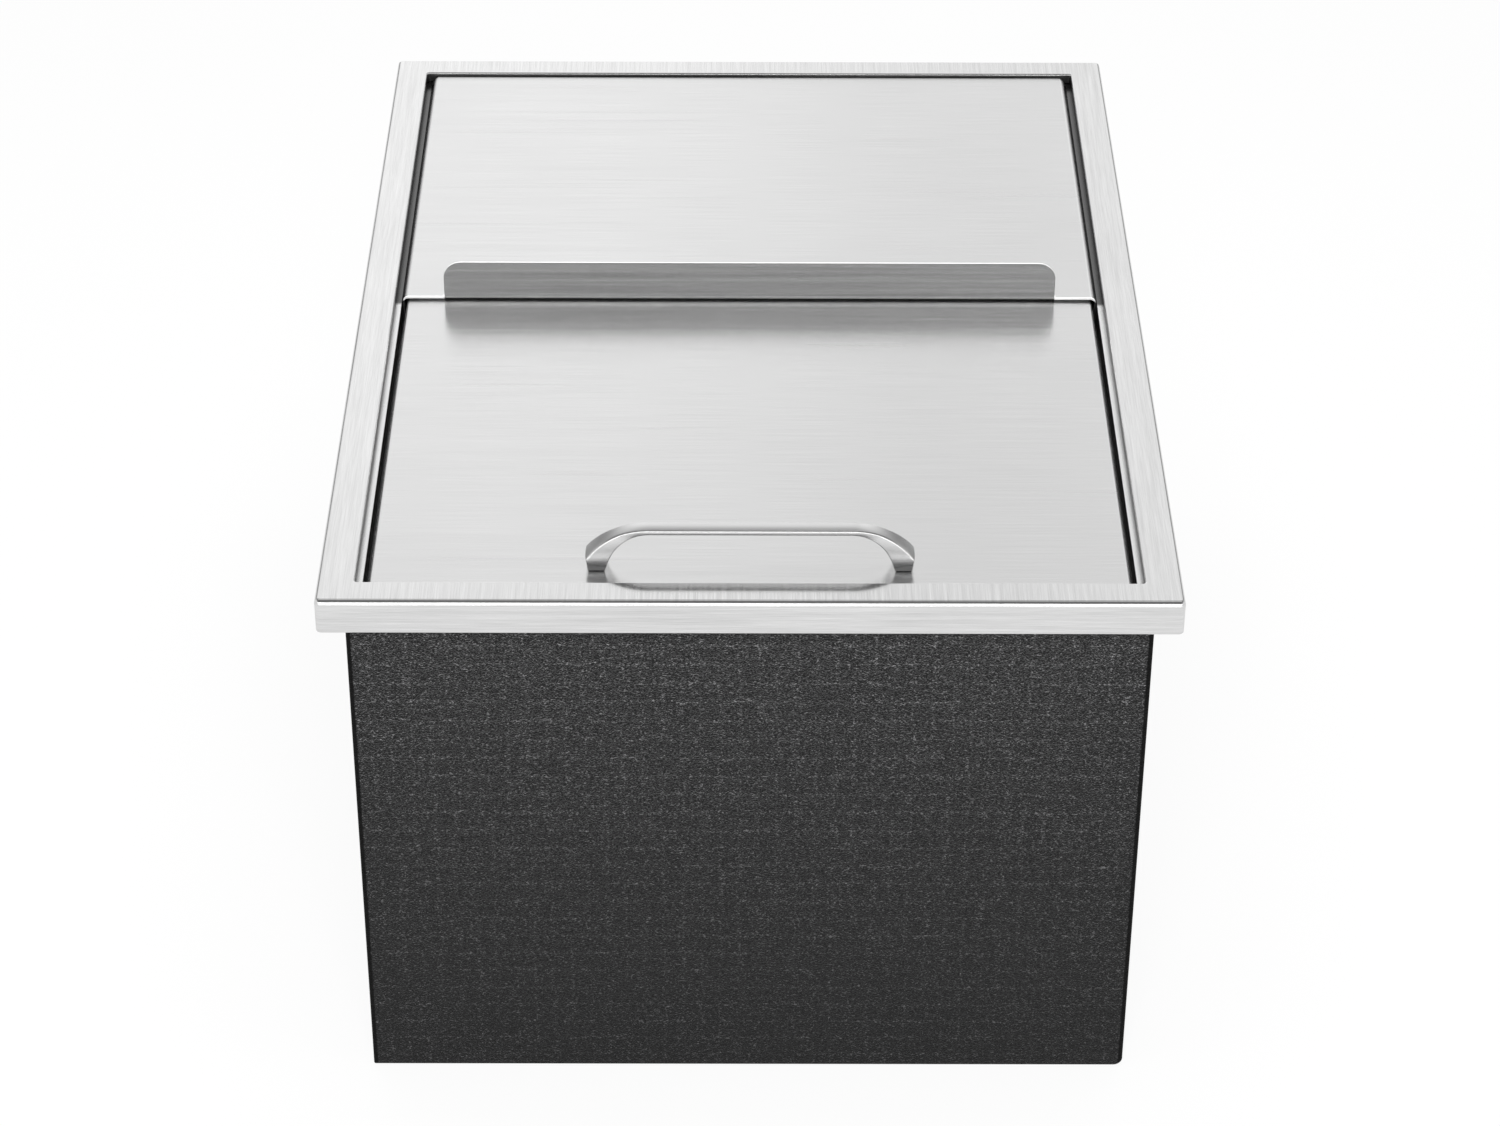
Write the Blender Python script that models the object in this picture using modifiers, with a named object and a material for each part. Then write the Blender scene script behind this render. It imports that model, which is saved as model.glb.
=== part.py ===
"""Drop in ice bin: an insulated stainless tub in a black casing, under two covers.

The folded rim hangs in a cut-out of a worktop. The front cover slides back under the
rear cover, and the rear cover lifts out by its upturned lip. Metres, +Z up, the front
towards -Y, the origin at the middle of the flat base.
"""
import math

import bmesh
import bpy
from mathutils import Matrix, Vector

# Clearances and overruns
GAP = 0.0003
OVERRUN = 0.005
MERGE_DISTANCE = 0.00001

# Rim, folded from one sheet with polished corners
RIM_WIDTH = 0.453
RIM_DEPTH = 0.610
RIM_TOP = 0.331
RIM_SHEET = 0.0012
RIM_SIDE_STRIP = 0.0198
RIM_END_STRIP = 0.0180
RIM_FOLD_RADIUS = 0.0014
RIM_INNER_DROP = 0.0062
OPENING_CORNER_RADIUS = 0.0016
SKIRT_HEIGHT = 0.0205
SKIRT_RETURN = 0.0105
SKIRT_CORNER_RADIUS = 0.0030
SKIRT_BOTTOM_RADIUS = 0.0030
RETURN_CORNER_RADIUS = 0.0006

# Z shaped track strips, welded under the rim's inner fold
TRACK_SHEET = 0.0012
TRACK_BEND_RADIUS = 0.0015
SHOULDER_WIDTH = 0.0026
SHOULDER_TUCK = 0.0030
LEDGE_DROP = 0.0190
LEDGE_WIDTH = 0.0140

# Covers, each folded from one sheet
COVER_SHEET = 0.0010
COVER_BEND_RADIUS = 0.0022
COVER_CORNER_RADIUS = 0.0032
COVER_OVERLAP = 0.0200
FRONT_COVER_DROP = 0.0047
FRONT_COVER_SIDE_GAP = 0.0063
FRONT_COVER_END_GAP = 0.0010
REAR_COVER_DROP = 0.0020
REAR_COVER_SIDE_GAP = 0.0039
REAR_COVER_BACK_GAP = 0.0010
REAR_HEM_END_GAP = 0.0020
LIP_SETBACK = 0.3142
LIP_WIDTH = 0.3566
LIP_HEIGHT = 0.0225
LIP_CORNER_RADIUS = 0.0080
LIP_BEND_RADIUS = 0.0010
LIP_RELIEF = 0.0012

# Bow handle, a flat tapered bar with two solid feet
HANDLE_LENGTH = 0.1735
HANDLE_BOW_REACH = 0.03275
HANDLE_HEIGHT = 0.0240
HANDLE_WIDTH = 0.0090
HANDLE_BAR = 0.0032
HANDLE_FOOT = 0.0095
HANDLE_OUTER_RADIUS = 0.0400
HANDLE_INNER_RADIUS = 0.0230
HANDLE_EDGE_RADIUS = 0.0007
HANDLE_SETBACK = 0.0370
SCREW_RADIUS = 0.0020
SCREW_HEAD_RADIUS = 0.0037
SCREW_HEAD_HEIGHT = 0.0024
SCREW_DEPTH = 0.0080
SCREW_SLOT = 0.0010
WASHER_RADIUS = 0.0048
WASHER_THICKNESS = 0.0008
BORE_CLEARANCE = 0.0003

# Ice tub, drawn from thin sheet, with a floor that falls to the drain
TUB_SHEET = 0.0008
TUB_FLANGE_TUCK = 0.0040
TUB_BEND_RADIUS = 0.0030
TUB_CORNER_RADIUS = 0.0280
TUB_FLOOR_RADIUS = 0.0140
TUB_TAPER = 0.0040
TUB_FLOOR_HEIGHT = 0.0370
TUB_FLOOR_FALL = 0.0040
SEAT_RADIUS = 0.0300
SEAT_DEPTH = 0.0042
SEAT_BEND_RADIUS = 0.0014
SEAT_HOLE_RADIUS = 0.0193

# Drain fitting
DRAIN_FLANGE_RADIUS = 0.0270
DRAIN_FLANGE_THICKNESS = 0.0016
DRAIN_FLANGE_ROUND = 0.0006
DRAIN_CUP_RADIUS = 0.0185
DRAIN_WALL = 0.0018
DRAIN_CUP_DEPTH = 0.0190
DRAIN_TAIL_RADIUS = 0.0130
DRAIN_TAIL_END = 0.0060
STRAINER_THICKNESS = 0.0012
STRAINER_HOLE_RADIUS = 0.0020
STRAINER_HOLE_CIRCLE = 0.0078
SEAL_THICKNESS = 0.0020
SEAL_RADIUS = 0.0262
WASHER_RING_RADIUS = 0.0255
WASHER_RING_THICKNESS = 0.0015
NUT_ACROSS_CORNERS = 0.0560
NUT_HEIGHT = 0.0075
NUT_CHAMFER = 0.0016
STOPPER_TOP_RADIUS = 0.0162
STOPPER_FOOT_RADIUS = 0.0148
STOPPER_HEIGHT = 0.0110
STOPPER_HEAD_RADIUS = 0.0200
STOPPER_HEAD_HEIGHT = 0.0030
STOPPER_EDGE_RADIUS = 0.0008
STOPPER_LUG_WIDTH = 0.0080
STOPPER_LUG_THICKNESS = 0.0035
STOPPER_LUG_HEIGHT = 0.0085
STOPPER_LUG_HOLE = 0.0017
RING_RADIUS = 0.0110
RING_WIRE_RADIUS = 0.0011

# Casing of embossed sheet, foam and the well round the drain
RIM_OVERHANG = 0.0138
CASING_SHEET = 0.0008
CASING_BEND_RADIUS = 0.0020
CASING_SOFT_CORNER = 0.0048
CASING_SEAM_CORNER = 0.0009
PANEL_FLANGE = 0.0150
WELL_RADIUS = 0.0380
WELL_WALL = 0.0015
WELL_FLANGE = 0.0070
RIVET_RADIUS = 0.0016
RIVET_HEAD_RADIUS = 0.0034
RIVET_HEAD_HEIGHT = 0.0013
RIVET_GRIP = 0.0021

# Counts and shares
CORNER_STEPS = 5
BEND_STEPS = 3
ARC_STEPS = 9
ROUND_STEPS = 32
SMALL_ROUND_STEPS = 16
STRAINER_HOLES = 8
RIVET_HEIGHT_SHARES = (0.16, 0.48, 0.80)
HANDLE_LEG_SWEEP = math.radians(66)
RING_TILT = math.radians(98)
WIRE_SIDES = 8
LUG_STEPS = 10

# Places worked out from the driving dimensions
SKIRT_BOTTOM = RIM_TOP - SKIRT_HEIGHT
CASING_WIDTH = RIM_WIDTH - 2 * RIM_OVERHANG
CASING_DEPTH = RIM_DEPTH - 2 * RIM_OVERHANG
OPENING_HALF_X = RIM_WIDTH / 2 - RIM_SIDE_STRIP
OPENING_HALF_Y = RIM_DEPTH / 2 - RIM_END_STRIP
SHOULDER_TOP = RIM_TOP - RIM_INNER_DROP - GAP
LEDGE_TOP = RIM_TOP - LEDGE_DROP
WEB_HALF_X = OPENING_HALF_X - SHOULDER_WIDTH
WEB_HALF_Y = OPENING_HALF_Y - SHOULDER_WIDTH
TUB_HALF_X = WEB_HALF_X - LEDGE_WIDTH - TUB_BEND_RADIUS
TUB_HALF_Y = WEB_HALF_Y - LEDGE_WIDTH - TUB_BEND_RADIUS
TUB_FLANGE_TOP = LEDGE_TOP - TRACK_SHEET - GAP
SEAT_TOP = TUB_FLOOR_HEIGHT - TUB_FLOOR_FALL - SEAT_DEPTH
FRONT_COVER_TOP = RIM_TOP - FRONT_COVER_DROP
FRONT_COVER_HALF_X = OPENING_HALF_X - FRONT_COVER_SIDE_GAP
FRONT_COVER_FRONT = FRONT_COVER_END_GAP - WEB_HALF_Y
REAR_COVER_TOP = RIM_TOP - REAR_COVER_DROP
REAR_COVER_HALF_X = OPENING_HALF_X - REAR_COVER_SIDE_GAP
REAR_COVER_BACK = OPENING_HALF_Y - REAR_COVER_BACK_GAP
LIP_FACE = LIP_SETBACK - RIM_DEPTH / 2
FRONT_COVER_BACK = LIP_FACE + COVER_OVERLAP
HANDLE_FACE = HANDLE_SETBACK - RIM_DEPTH / 2
HANDLE_MIDDLE = HANDLE_FACE + HANDLE_WIDTH / 2
HANDLE_BASE = FRONT_COVER_TOP + GAP
SCREW_X = HANDLE_LENGTH / 2 - HANDLE_FOOT / 2
CASING_TOP = RIM_TOP - RIM_SHEET - GAP
SHELL_HALF_X = CASING_WIDTH / 2 - CASING_SHEET - GAP
SHELL_BOTTOM = CASING_SHEET + GAP
FOAM_BOTTOM = SHELL_BOTTOM + CASING_SHEET + GAP
FOAM_TOP = TUB_FLANGE_TOP - TUB_BEND_RADIUS
DRAIN_FLANGE_BOTTOM = SEAT_TOP + SEAL_THICKNESS + 2 * GAP
DRAIN_FLANGE_TOP = DRAIN_FLANGE_BOTTOM + DRAIN_FLANGE_THICKNESS
STRAINER_TOP = DRAIN_FLANGE_TOP - DRAIN_CUP_DEPTH + STRAINER_THICKNESS + GAP


def clear_scene():
    for obj in list(bpy.data.objects):
        bpy.data.objects.remove(obj, do_unlink=True)
    for collection in list(bpy.data.collections):
        bpy.data.collections.remove(collection)


def new_collection(name):
    collection = bpy.data.collections.new(name)
    bpy.context.scene.collection.children.link(collection)
    return collection


def finish_material(name, colour, roughness, metallic):
    material = bpy.data.materials.new(name)
    material.use_nodes = True
    shader = material.node_tree.nodes["Principled BSDF"]
    shader.inputs["Base Color"].default_value = (*colour, 1.0)
    shader.inputs["Roughness"].default_value = roughness
    shader.inputs["Metallic"].default_value = metallic
    return material


def add_part(name, bm, material, place=(0, 0, 0), smooth=True):
    """Turns a bmesh into a named sub-part in the parts collection."""
    mesh = bpy.data.meshes.new(name)
    bm.to_mesh(mesh)
    bm.free()
    if smooth:
        mesh.shade_smooth()
        mesh.set_sharp_from_angle(angle=math.radians(30))
    obj = bpy.data.objects.new(name, mesh)
    obj.location = place
    mesh.materials.append(material)
    PARTS.objects.link(obj)
    return obj


def add_cutter(name, bm, place=(0, 0, 0)):
    mesh = bpy.data.meshes.new(name)
    bm.to_mesh(mesh)
    bm.free()
    obj = bpy.data.objects.new(name, mesh)
    obj.location = place
    obj.hide_render = True
    obj.display_type = "WIRE"
    CUTTERS.objects.link(obj)
    return obj


def cut(obj, cutter):
    boolean = obj.modifiers.new("cut " + cutter.name, "BOOLEAN")
    boolean.operation = "DIFFERENCE"
    boolean.solver = "EXACT"
    boolean.object = cutter


def sheet(obj, thickness):
    """Gives a folded surface its sheet thickness, away from the side it faces."""
    solidify = obj.modifiers.new("sheet", "SOLIDIFY")
    solidify.thickness = thickness
    solidify.offset = -1
    solidify.use_even_offset = True


def cylinder_mesh(radius, bottom, top, steps, top_radius=None):
    bm = bmesh.new()
    bmesh.ops.create_cone(
        bm, cap_ends=True, segments=steps, radius1=radius,
        radius2=radius if top_radius is None else top_radius, depth=top - bottom)
    bmesh.ops.translate(bm, verts=bm.verts, vec=(0, 0, (top + bottom) / 2))
    return bm


def box_mesh(low, high):
    bm = bmesh.new()
    bmesh.ops.create_cube(bm, size=1)
    size = [b - a for a, b in zip(low, high)]
    middle = [(a + b) / 2 for a, b in zip(low, high)]
    bmesh.ops.scale(bm, verts=bm.verts, vec=size)
    bmesh.ops.translate(bm, verts=bm.verts, vec=middle)
    return bm


def filleted_path(corners, steps=BEND_STEPS):
    """Points of an open path of (u, v, radius) corners, with an arc at each inner corner."""
    points = [Vector(corners[0][:2])]
    for before, corner, after in zip(corners, corners[1:], corners[2:]):
        here = Vector(corner[:2])
        into = (here - Vector(before[:2])).normalized()
        out = (Vector(after[:2]) - here).normalized()
        turn = math.atan2(into.x * out.y - into.y * out.x, into.dot(out))
        reach = corner[2] * math.tan(abs(turn) / 2)
        start = here - into * reach
        side = math.copysign(1, turn)
        centre = start + Vector((-into.y, into.x)) * side * corner[2]
        for step in range(steps + 1):
            swing = Matrix.Rotation(turn * step / steps, 2)
            points.append(centre + swing @ (start - centre))
    points.append(Vector(corners[-1][:2]))
    return points


def rounded_rectangle(half_x, half_y, radius, height, middle_y=0.0):
    """A ring of points, anticlockwise from above, starting on the +X side."""
    ring = []
    quarters = ((1, -1, -90), (1, 1, 0), (-1, 1, 90), (-1, -1, 180))
    for sign_x, sign_y, start in quarters:
        for step in range(CORNER_STEPS + 1):
            angle = math.radians(start + 90 * step / CORNER_STEPS)
            x = sign_x * (half_x - radius) + radius * math.cos(angle)
            y = sign_y * (half_y - radius) + radius * math.sin(angle)
            ring.append(Vector((x, y + middle_y, height)))
    return ring


def circle_like(ring, radius, height):
    """A circle with as many points as a rounded rectangle, and in the same order."""
    count = len(ring)
    angles = [math.radians(360 * (i + 0.5) / count - 90) for i in range(count)]
    return [Vector((radius * math.cos(a), radius * math.sin(a), height)) for a in angles]


def loft(bm, rings, closed=True):
    """Joins rows of points that have the same count, and returns their vertices."""
    rows = [[bm.verts.new(point) for point in ring] for ring in rings]
    for low, high in zip(rows, rows[1:]):
        count = len(low)
        for i in range(count if closed else count - 1):
            j = (i + 1) % count
            bm.faces.new((low[i], low[j], high[j], high[i]))
    return rows


def face_outwards(bm):
    """Turns an open shell's faces away from the part's middle."""
    bm.normal_update()
    middle = Vector((0, 0, RIM_TOP / 2))
    facing = sum(f.calc_area() * f.normal.dot(f.calc_center_median() - middle) for f in bm.faces)
    if facing < 0:
        bmesh.ops.reverse_faces(bm, faces=bm.faces)


def prism(bm, outline, low, high):
    """A closed solid between y = low and y = high, from an outline of (x, z) points."""
    rows = loft(bm, [[Vector((x, y, z)) for x, z in outline] for y in (low, high)])
    bm.faces.new(rows[0][::-1])
    bm.faces.new(rows[1])
    bmesh.ops.recalc_face_normals(bm, faces=bm.faces)


def turned(name, profile, material, place, steps=ROUND_STEPS):
    """A profile of (radius, height) points down its outer side, turned about its Z axis."""
    bm = bmesh.new()
    verts = [bm.verts.new((radius, 0, height)) for radius, height in profile]
    hollow = profile[0][0] > 0
    for a, b in zip(verts, verts[1:] + verts[:1] if hollow else verts[1:]):
        bm.edges.new((a, b))
    obj = add_part(name, bm, material, place)
    screw = obj.modifiers.new("turn", "SCREW")
    screw.steps = steps
    screw.render_steps = steps
    screw.use_merge_vertices = True
    screw.merge_threshold = MERGE_DISTANCE
    screw.use_smooth_shade = False
    return obj


def ring_profile(inner, outer, bottom, top):
    """A plain washer's section, which runs down its outer side."""
    return [(outer, top), (outer, bottom), (inner, bottom), (inner, top)]


def make_rim():
    """Skirt, top strip and inner fold, drawn as rings from the return edge inwards."""
    path = filleted_path([
        (SKIRT_RETURN, SKIRT_BOTTOM, 0),
        (0, SKIRT_BOTTOM, SKIRT_BOTTOM_RADIUS),
        (0, RIM_TOP, RIM_FOLD_RADIUS),
        (RIM_SIDE_STRIP, RIM_TOP, RIM_FOLD_RADIUS),
        (RIM_SIDE_STRIP, RIM_TOP - RIM_INNER_DROP, 0)])
    rings = []
    for inset, height in path:
        inner = inset > RIM_SIDE_STRIP / 2 and height > SKIRT_BOTTOM
        if inner:
            past = RIM_SIDE_STRIP - inset
            half_x, half_y = OPENING_HALF_X + past, OPENING_HALF_Y + past
            radius = OPENING_CORNER_RADIUS + past
        else:
            half_x, half_y = RIM_WIDTH / 2 - inset, RIM_DEPTH / 2 - inset
            radius = max(SKIRT_CORNER_RADIUS - inset, RETURN_CORNER_RADIUS)
        rings.append(rounded_rectangle(half_x, half_y, radius, height))
    bm = bmesh.new()
    loft(bm, rings)
    sheet(add_part("rim_frame", bm, BRUSHED), RIM_SHEET)


def track_section():
    """Closed Z section as (distance outwards from the web's inner face, height) points."""
    tight = TRACK_BEND_RADIUS - TRACK_SHEET
    tuck = SHOULDER_WIDTH + SHOULDER_TUCK
    under = filleted_path([
        (tuck, SHOULDER_TOP - TRACK_SHEET, 0),
        (TRACK_SHEET, SHOULDER_TOP - TRACK_SHEET, tight),
        (TRACK_SHEET, LEDGE_TOP - TRACK_SHEET, TRACK_BEND_RADIUS),
        (-LEDGE_WIDTH, LEDGE_TOP - TRACK_SHEET, 0)])
    over = filleted_path([
        (-LEDGE_WIDTH, LEDGE_TOP, 0),
        (0, LEDGE_TOP, tight),
        (0, SHOULDER_TOP, TRACK_BEND_RADIUS),
        (tuck, SHOULDER_TOP, 0)])
    return under + over


def make_track(name, web, half_length, turn):
    """One track strip, its section drawn along its side and its ends mitred."""
    section = track_section()
    bm = bmesh.new()
    ends = [
        [Vector((web + out, side * (half_length + out - GAP / 2), z)) for out, z in section]
        for side in (1, -1)]
    rows = loft(bm, ends)
    bm.faces.new(rows[0][::-1])
    bm.faces.new(rows[1])
    bmesh.ops.recalc_face_normals(bm, faces=bm.faces)
    bmesh.ops.rotate(bm, verts=bm.verts, cent=(0, 0, 0), matrix=Matrix.Rotation(turn, 3, "Z"))
    add_part(name, bm, BRUSHED)


def make_tracks():
    make_track("right_cover_track", WEB_HALF_X, WEB_HALF_Y, 0)
    make_track("left_cover_track", WEB_HALF_X, WEB_HALF_Y, math.pi)
    make_track("rear_cover_track", WEB_HALF_Y, WEB_HALF_X, math.pi / 2)
    make_track("front_cover_track", WEB_HALF_Y, WEB_HALF_X, -math.pi / 2)


def tub_rings(grow=0.0):
    """Rings down the tub's inner wall and floor to the drain hole, or grow outside them."""
    path = filleted_path([
        (-grow, TUB_FLANGE_TOP - TUB_BEND_RADIUS, 0),
        (TUB_TAPER - grow, TUB_FLOOR_HEIGHT - grow, TUB_FLOOR_RADIUS + grow),
        (TUB_TAPER + 2 * TUB_FLOOR_RADIUS, TUB_FLOOR_HEIGHT - grow, 0)])
    rings = []
    for inset, height in path:
        radius = TUB_CORNER_RADIUS + grow - (inset + grow) / 2
        rings.append(rounded_rectangle(TUB_HALF_X - inset, TUB_HALF_Y - inset, radius, height))
    edge_height = TUB_FLOOR_HEIGHT - TUB_FLOOR_FALL - grow
    seat = filleted_path([
        (SEAT_RADIUS + TUB_FLOOR_RADIUS, edge_height + TUB_FLOOR_FALL / 2, 0),
        (SEAT_RADIUS + grow, edge_height, SEAT_BEND_RADIUS - grow / 2),
        (SEAT_RADIUS + grow, SEAT_TOP - grow, SEAT_BEND_RADIUS),
        (SEAT_HOLE_RADIUS, SEAT_TOP - grow, 0)])
    return rings + [circle_like(rings[-1], radius, height) for radius, height in seat[1:]]


def tub_flange_rings():
    """Rings from the flange's outer edge in over the bend at the top of the wall."""
    outside = LEDGE_WIDTH + TUB_BEND_RADIUS + TUB_FLANGE_TUCK
    rings = [rounded_rectangle(
        TUB_HALF_X + outside, TUB_HALF_Y + outside, TUB_FLANGE_TUCK, TUB_FLANGE_TOP)]
    for step in range(BEND_STEPS):
        angle = math.radians(90 * step / BEND_STEPS)
        out = TUB_BEND_RADIUS * (1 - math.sin(angle))
        height = TUB_FLANGE_TOP - TUB_BEND_RADIUS * (1 - math.cos(angle))
        rings.append(rounded_rectangle(
            TUB_HALF_X + out, TUB_HALF_Y + out, TUB_CORNER_RADIUS + out, height))
    return rings


def make_tub():
    """Flange, tapered walls, rounded floor corner, sloping floor and sunk drain seat."""
    bm = bmesh.new()
    loft(bm, tub_flange_rings() + tub_rings())
    bmesh.ops.triangulate(bm, faces=bm.faces, quad_method="FIXED")
    sheet(add_part("ice_tub", bm, TUB_STEEL), TUB_SHEET)


def make_front_cover():
    """A shallow pan turned upside down, with two screw holes under the handle."""
    bm = bmesh.new()
    half_y = (FRONT_COVER_BACK - FRONT_COVER_FRONT) / 2
    middle = (FRONT_COVER_BACK + FRONT_COVER_FRONT) / 2
    path = filleted_path([
        (0, LEDGE_TOP + GAP, 0),
        (0, FRONT_COVER_TOP, COVER_BEND_RADIUS),
        (COVER_BEND_RADIUS, FRONT_COVER_TOP, 0)])[:-1]
    rings = [
        rounded_rectangle(FRONT_COVER_HALF_X - inset, half_y - inset,
                          COVER_CORNER_RADIUS - inset, height, middle)
        for inset, height in path]
    rows = loft(bm, rings)
    bm.faces.new(rows[-1])
    cover = add_part("front_cover_panel", bm, BRUSHED)
    sheet(cover, COVER_SHEET)
    for side, sign in (("left", -1), ("right", 1)):
        hole = cylinder_mesh(
            SCREW_RADIUS + BORE_CLEARANCE, FRONT_COVER_TOP - OVERRUN,
            FRONT_COVER_TOP + OVERRUN, SMALL_ROUND_STEPS)
        cut(cover, add_cutter("cover_hole_" + side, hole, (sign * SCREW_X, HANDLE_MIDDLE, 0)))


def three_sided_row(inset, height, hem_end):
    """A row round the right, back and left sides of the rear cover."""
    half = REAR_COVER_HALF_X - inset
    back = REAR_COVER_BACK - inset
    radius = COVER_CORNER_RADIUS - inset
    right = [Vector((half, LIP_FACE, height)), Vector((half, hem_end, height))]
    for step in range(CORNER_STEPS + 1):
        angle = math.radians(90 * step / CORNER_STEPS)
        right.append(Vector((
            half - radius + radius * math.cos(angle),
            back - radius + radius * math.sin(angle), height)))
    left = [Vector((-point.x, point.y, point.z)) for point in reversed(right)]
    return right + left


def lip_outline():
    """The lip's face above its bend, from right to left over the rounded top."""
    half = LIP_WIDTH / 2
    foot = REAR_COVER_TOP + LIP_BEND_RADIUS
    top = REAR_COVER_TOP + LIP_HEIGHT
    path = filleted_path([
        (-half, foot, 0), (-half, top, LIP_CORNER_RADIUS),
        (half, top, LIP_CORNER_RADIUS), (half, foot, 0)], ARC_STEPS)
    face = LIP_FACE + COVER_SHEET
    return [Vector((x, face, height)) for x, height in path[1:-1]]


def make_rear_cover():
    """Top face with side and back hems, and a lip bent up along the middle of its front."""
    bm = bmesh.new()
    shoulder = SHOULDER_TOP + GAP
    hem_end = WEB_HALF_Y - REAR_HEM_END_GAP
    path = filleted_path([
        (0, shoulder, 0),
        (0, REAR_COVER_TOP, COVER_BEND_RADIUS),
        (COVER_BEND_RADIUS, REAR_COVER_TOP, 0)])[:-1]
    rows = loft(bm, [three_sided_row(inset, z, hem_end) for inset, z in path], closed=False)
    low = rows[0]
    for first, second in ((low[0], low[1]), (low[-2], low[-1])):
        feet = [bm.verts.new((v.co.x, v.co.y, LEDGE_TOP + GAP)) for v in (first, second)]
        bm.faces.new((feet[0], feet[1], second, first))
    bend_start = LIP_FACE + COVER_SHEET + LIP_BEND_RADIUS
    half = LIP_WIDTH / 2
    notch = [
        (half, bend_start), (half, bend_start + LIP_RELIEF),
        (half + LIP_RELIEF, bend_start + LIP_RELIEF), (half + LIP_RELIEF, LIP_FACE)]
    right = [bm.verts.new((x, y, REAR_COVER_TOP)) for x, y in notch]
    left = [bm.verts.new((-x, y, REAR_COVER_TOP)) for x, y in notch]
    bm.faces.new(rows[-1] + left[::-1] + right)
    edge = (right[0], left[0])
    for step in range(1, BEND_STEPS + 1):
        angle = math.radians(90 * step / BEND_STEPS)
        y = bend_start - LIP_BEND_RADIUS * math.sin(angle)
        z = REAR_COVER_TOP + LIP_BEND_RADIUS * (1 - math.cos(angle))
        following = (bm.verts.new((half, y, z)), bm.verts.new((-half, y, z)))
        bm.faces.new((edge[0], edge[1], following[1], following[0]))
        edge = following
    outline = [bm.verts.new(point) for point in lip_outline()]
    bm.faces.new([edge[0], edge[1]] + outline)
    sheet(add_part("rear_cover_panel", bm, BRUSHED), COVER_SHEET)


def handle_outline():
    """Half of the bow seen from the front, from the bar's middle down to the foot."""
    half = HANDLE_LENGTH / 2
    straight = half - HANDLE_BOW_REACH
    sweep = math.asin(HANDLE_BOW_REACH / HANDLE_OUTER_RADIUS)
    outer = []
    for step in range(ARC_STEPS + 1):
        angle = sweep * step / ARC_STEPS
        outer.append((
            straight + HANDLE_OUTER_RADIUS * math.sin(angle),
            HANDLE_HEIGHT - HANDLE_OUTER_RADIUS * (1 - math.cos(angle))))
    inner = []
    for step in range(ARC_STEPS + 1):
        angle = HANDLE_LEG_SWEEP * step / ARC_STEPS
        inner.append((
            straight + HANDLE_INNER_RADIUS * math.sin(angle),
            HANDLE_HEIGHT - HANDLE_BAR - HANDLE_INNER_RADIUS * (1 - math.cos(angle))))
    return outer + [(half, 0), (half - HANDLE_FOOT, 0)] + inner[::-1]


def make_handle():
    """The bow's outline, given the bar's width, with softened edges and blind bores."""
    right = handle_outline()
    bm = bmesh.new()
    prism(bm, right + [(-x, z) for x, z in reversed(right)], -HANDLE_WIDTH / 2, HANDLE_WIDTH / 2)
    handle = add_part("cover_handle", bm, HANDLE_STEEL, (0, HANDLE_MIDDLE, HANDLE_BASE))
    bevel = handle.modifiers.new("soft edges", "BEVEL")
    bevel.width = HANDLE_EDGE_RADIUS
    bevel.segments = 2
    bevel.limit_method = "ANGLE"
    bevel.angle_limit = math.radians(40)
    for side, sign in (("left", -1), ("right", 1)):
        bore = cylinder_mesh(
            SCREW_RADIUS + BORE_CLEARANCE, HANDLE_BASE - OVERRUN,
            HANDLE_BASE + SCREW_DEPTH + GAP, SMALL_ROUND_STEPS)
        cut(handle, add_cutter("handle_bore_" + side, bore, (sign * SCREW_X, HANDLE_MIDDLE, 0)))


def make_handle_fixings():
    """A slotted screw and a plain washer under each foot, below the cover's sheet."""
    washer_top = FRONT_COVER_TOP - COVER_SHEET - GAP
    washer_bottom = washer_top - WASHER_THICKNESS
    head_top = washer_bottom - GAP
    for side, sign in (("left", -1), ("right", 1)):
        place = (sign * SCREW_X, HANDLE_MIDDLE, 0)
        turned("handle_washer_" + side, ring_profile(
            SCREW_RADIUS + BORE_CLEARANCE, WASHER_RADIUS, washer_bottom, washer_top),
            ZINC, place, SMALL_ROUND_STEPS)
        screw = turned("handle_screw_" + side, [
            (0, HANDLE_BASE + SCREW_DEPTH), (SCREW_RADIUS, HANDLE_BASE + SCREW_DEPTH),
            (SCREW_RADIUS, head_top), (SCREW_HEAD_RADIUS, head_top),
            (SCREW_HEAD_RADIUS, head_top - SCREW_HEAD_HEIGHT / 2),
            (SCREW_HEAD_RADIUS - SCREW_HEAD_HEIGHT / 2, head_top - SCREW_HEAD_HEIGHT),
            (0, head_top - SCREW_HEAD_HEIGHT)], ZINC, place, SMALL_ROUND_STEPS)
        slot = box_mesh(
            (-SCREW_HEAD_RADIUS - OVERRUN, -SCREW_SLOT / 2, head_top - SCREW_HEAD_HEIGHT - OVERRUN),
            (SCREW_HEAD_RADIUS + OVERRUN, SCREW_SLOT / 2, head_top - SCREW_HEAD_HEIGHT / 2))
        cut(screw, add_cutter("screw_slot_" + side, slot, place))


def well_cutter(name, bottom, top):
    return add_cutter(name, cylinder_mesh(WELL_RADIUS + WELL_WALL + GAP, bottom, top, ROUND_STEPS))


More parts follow.
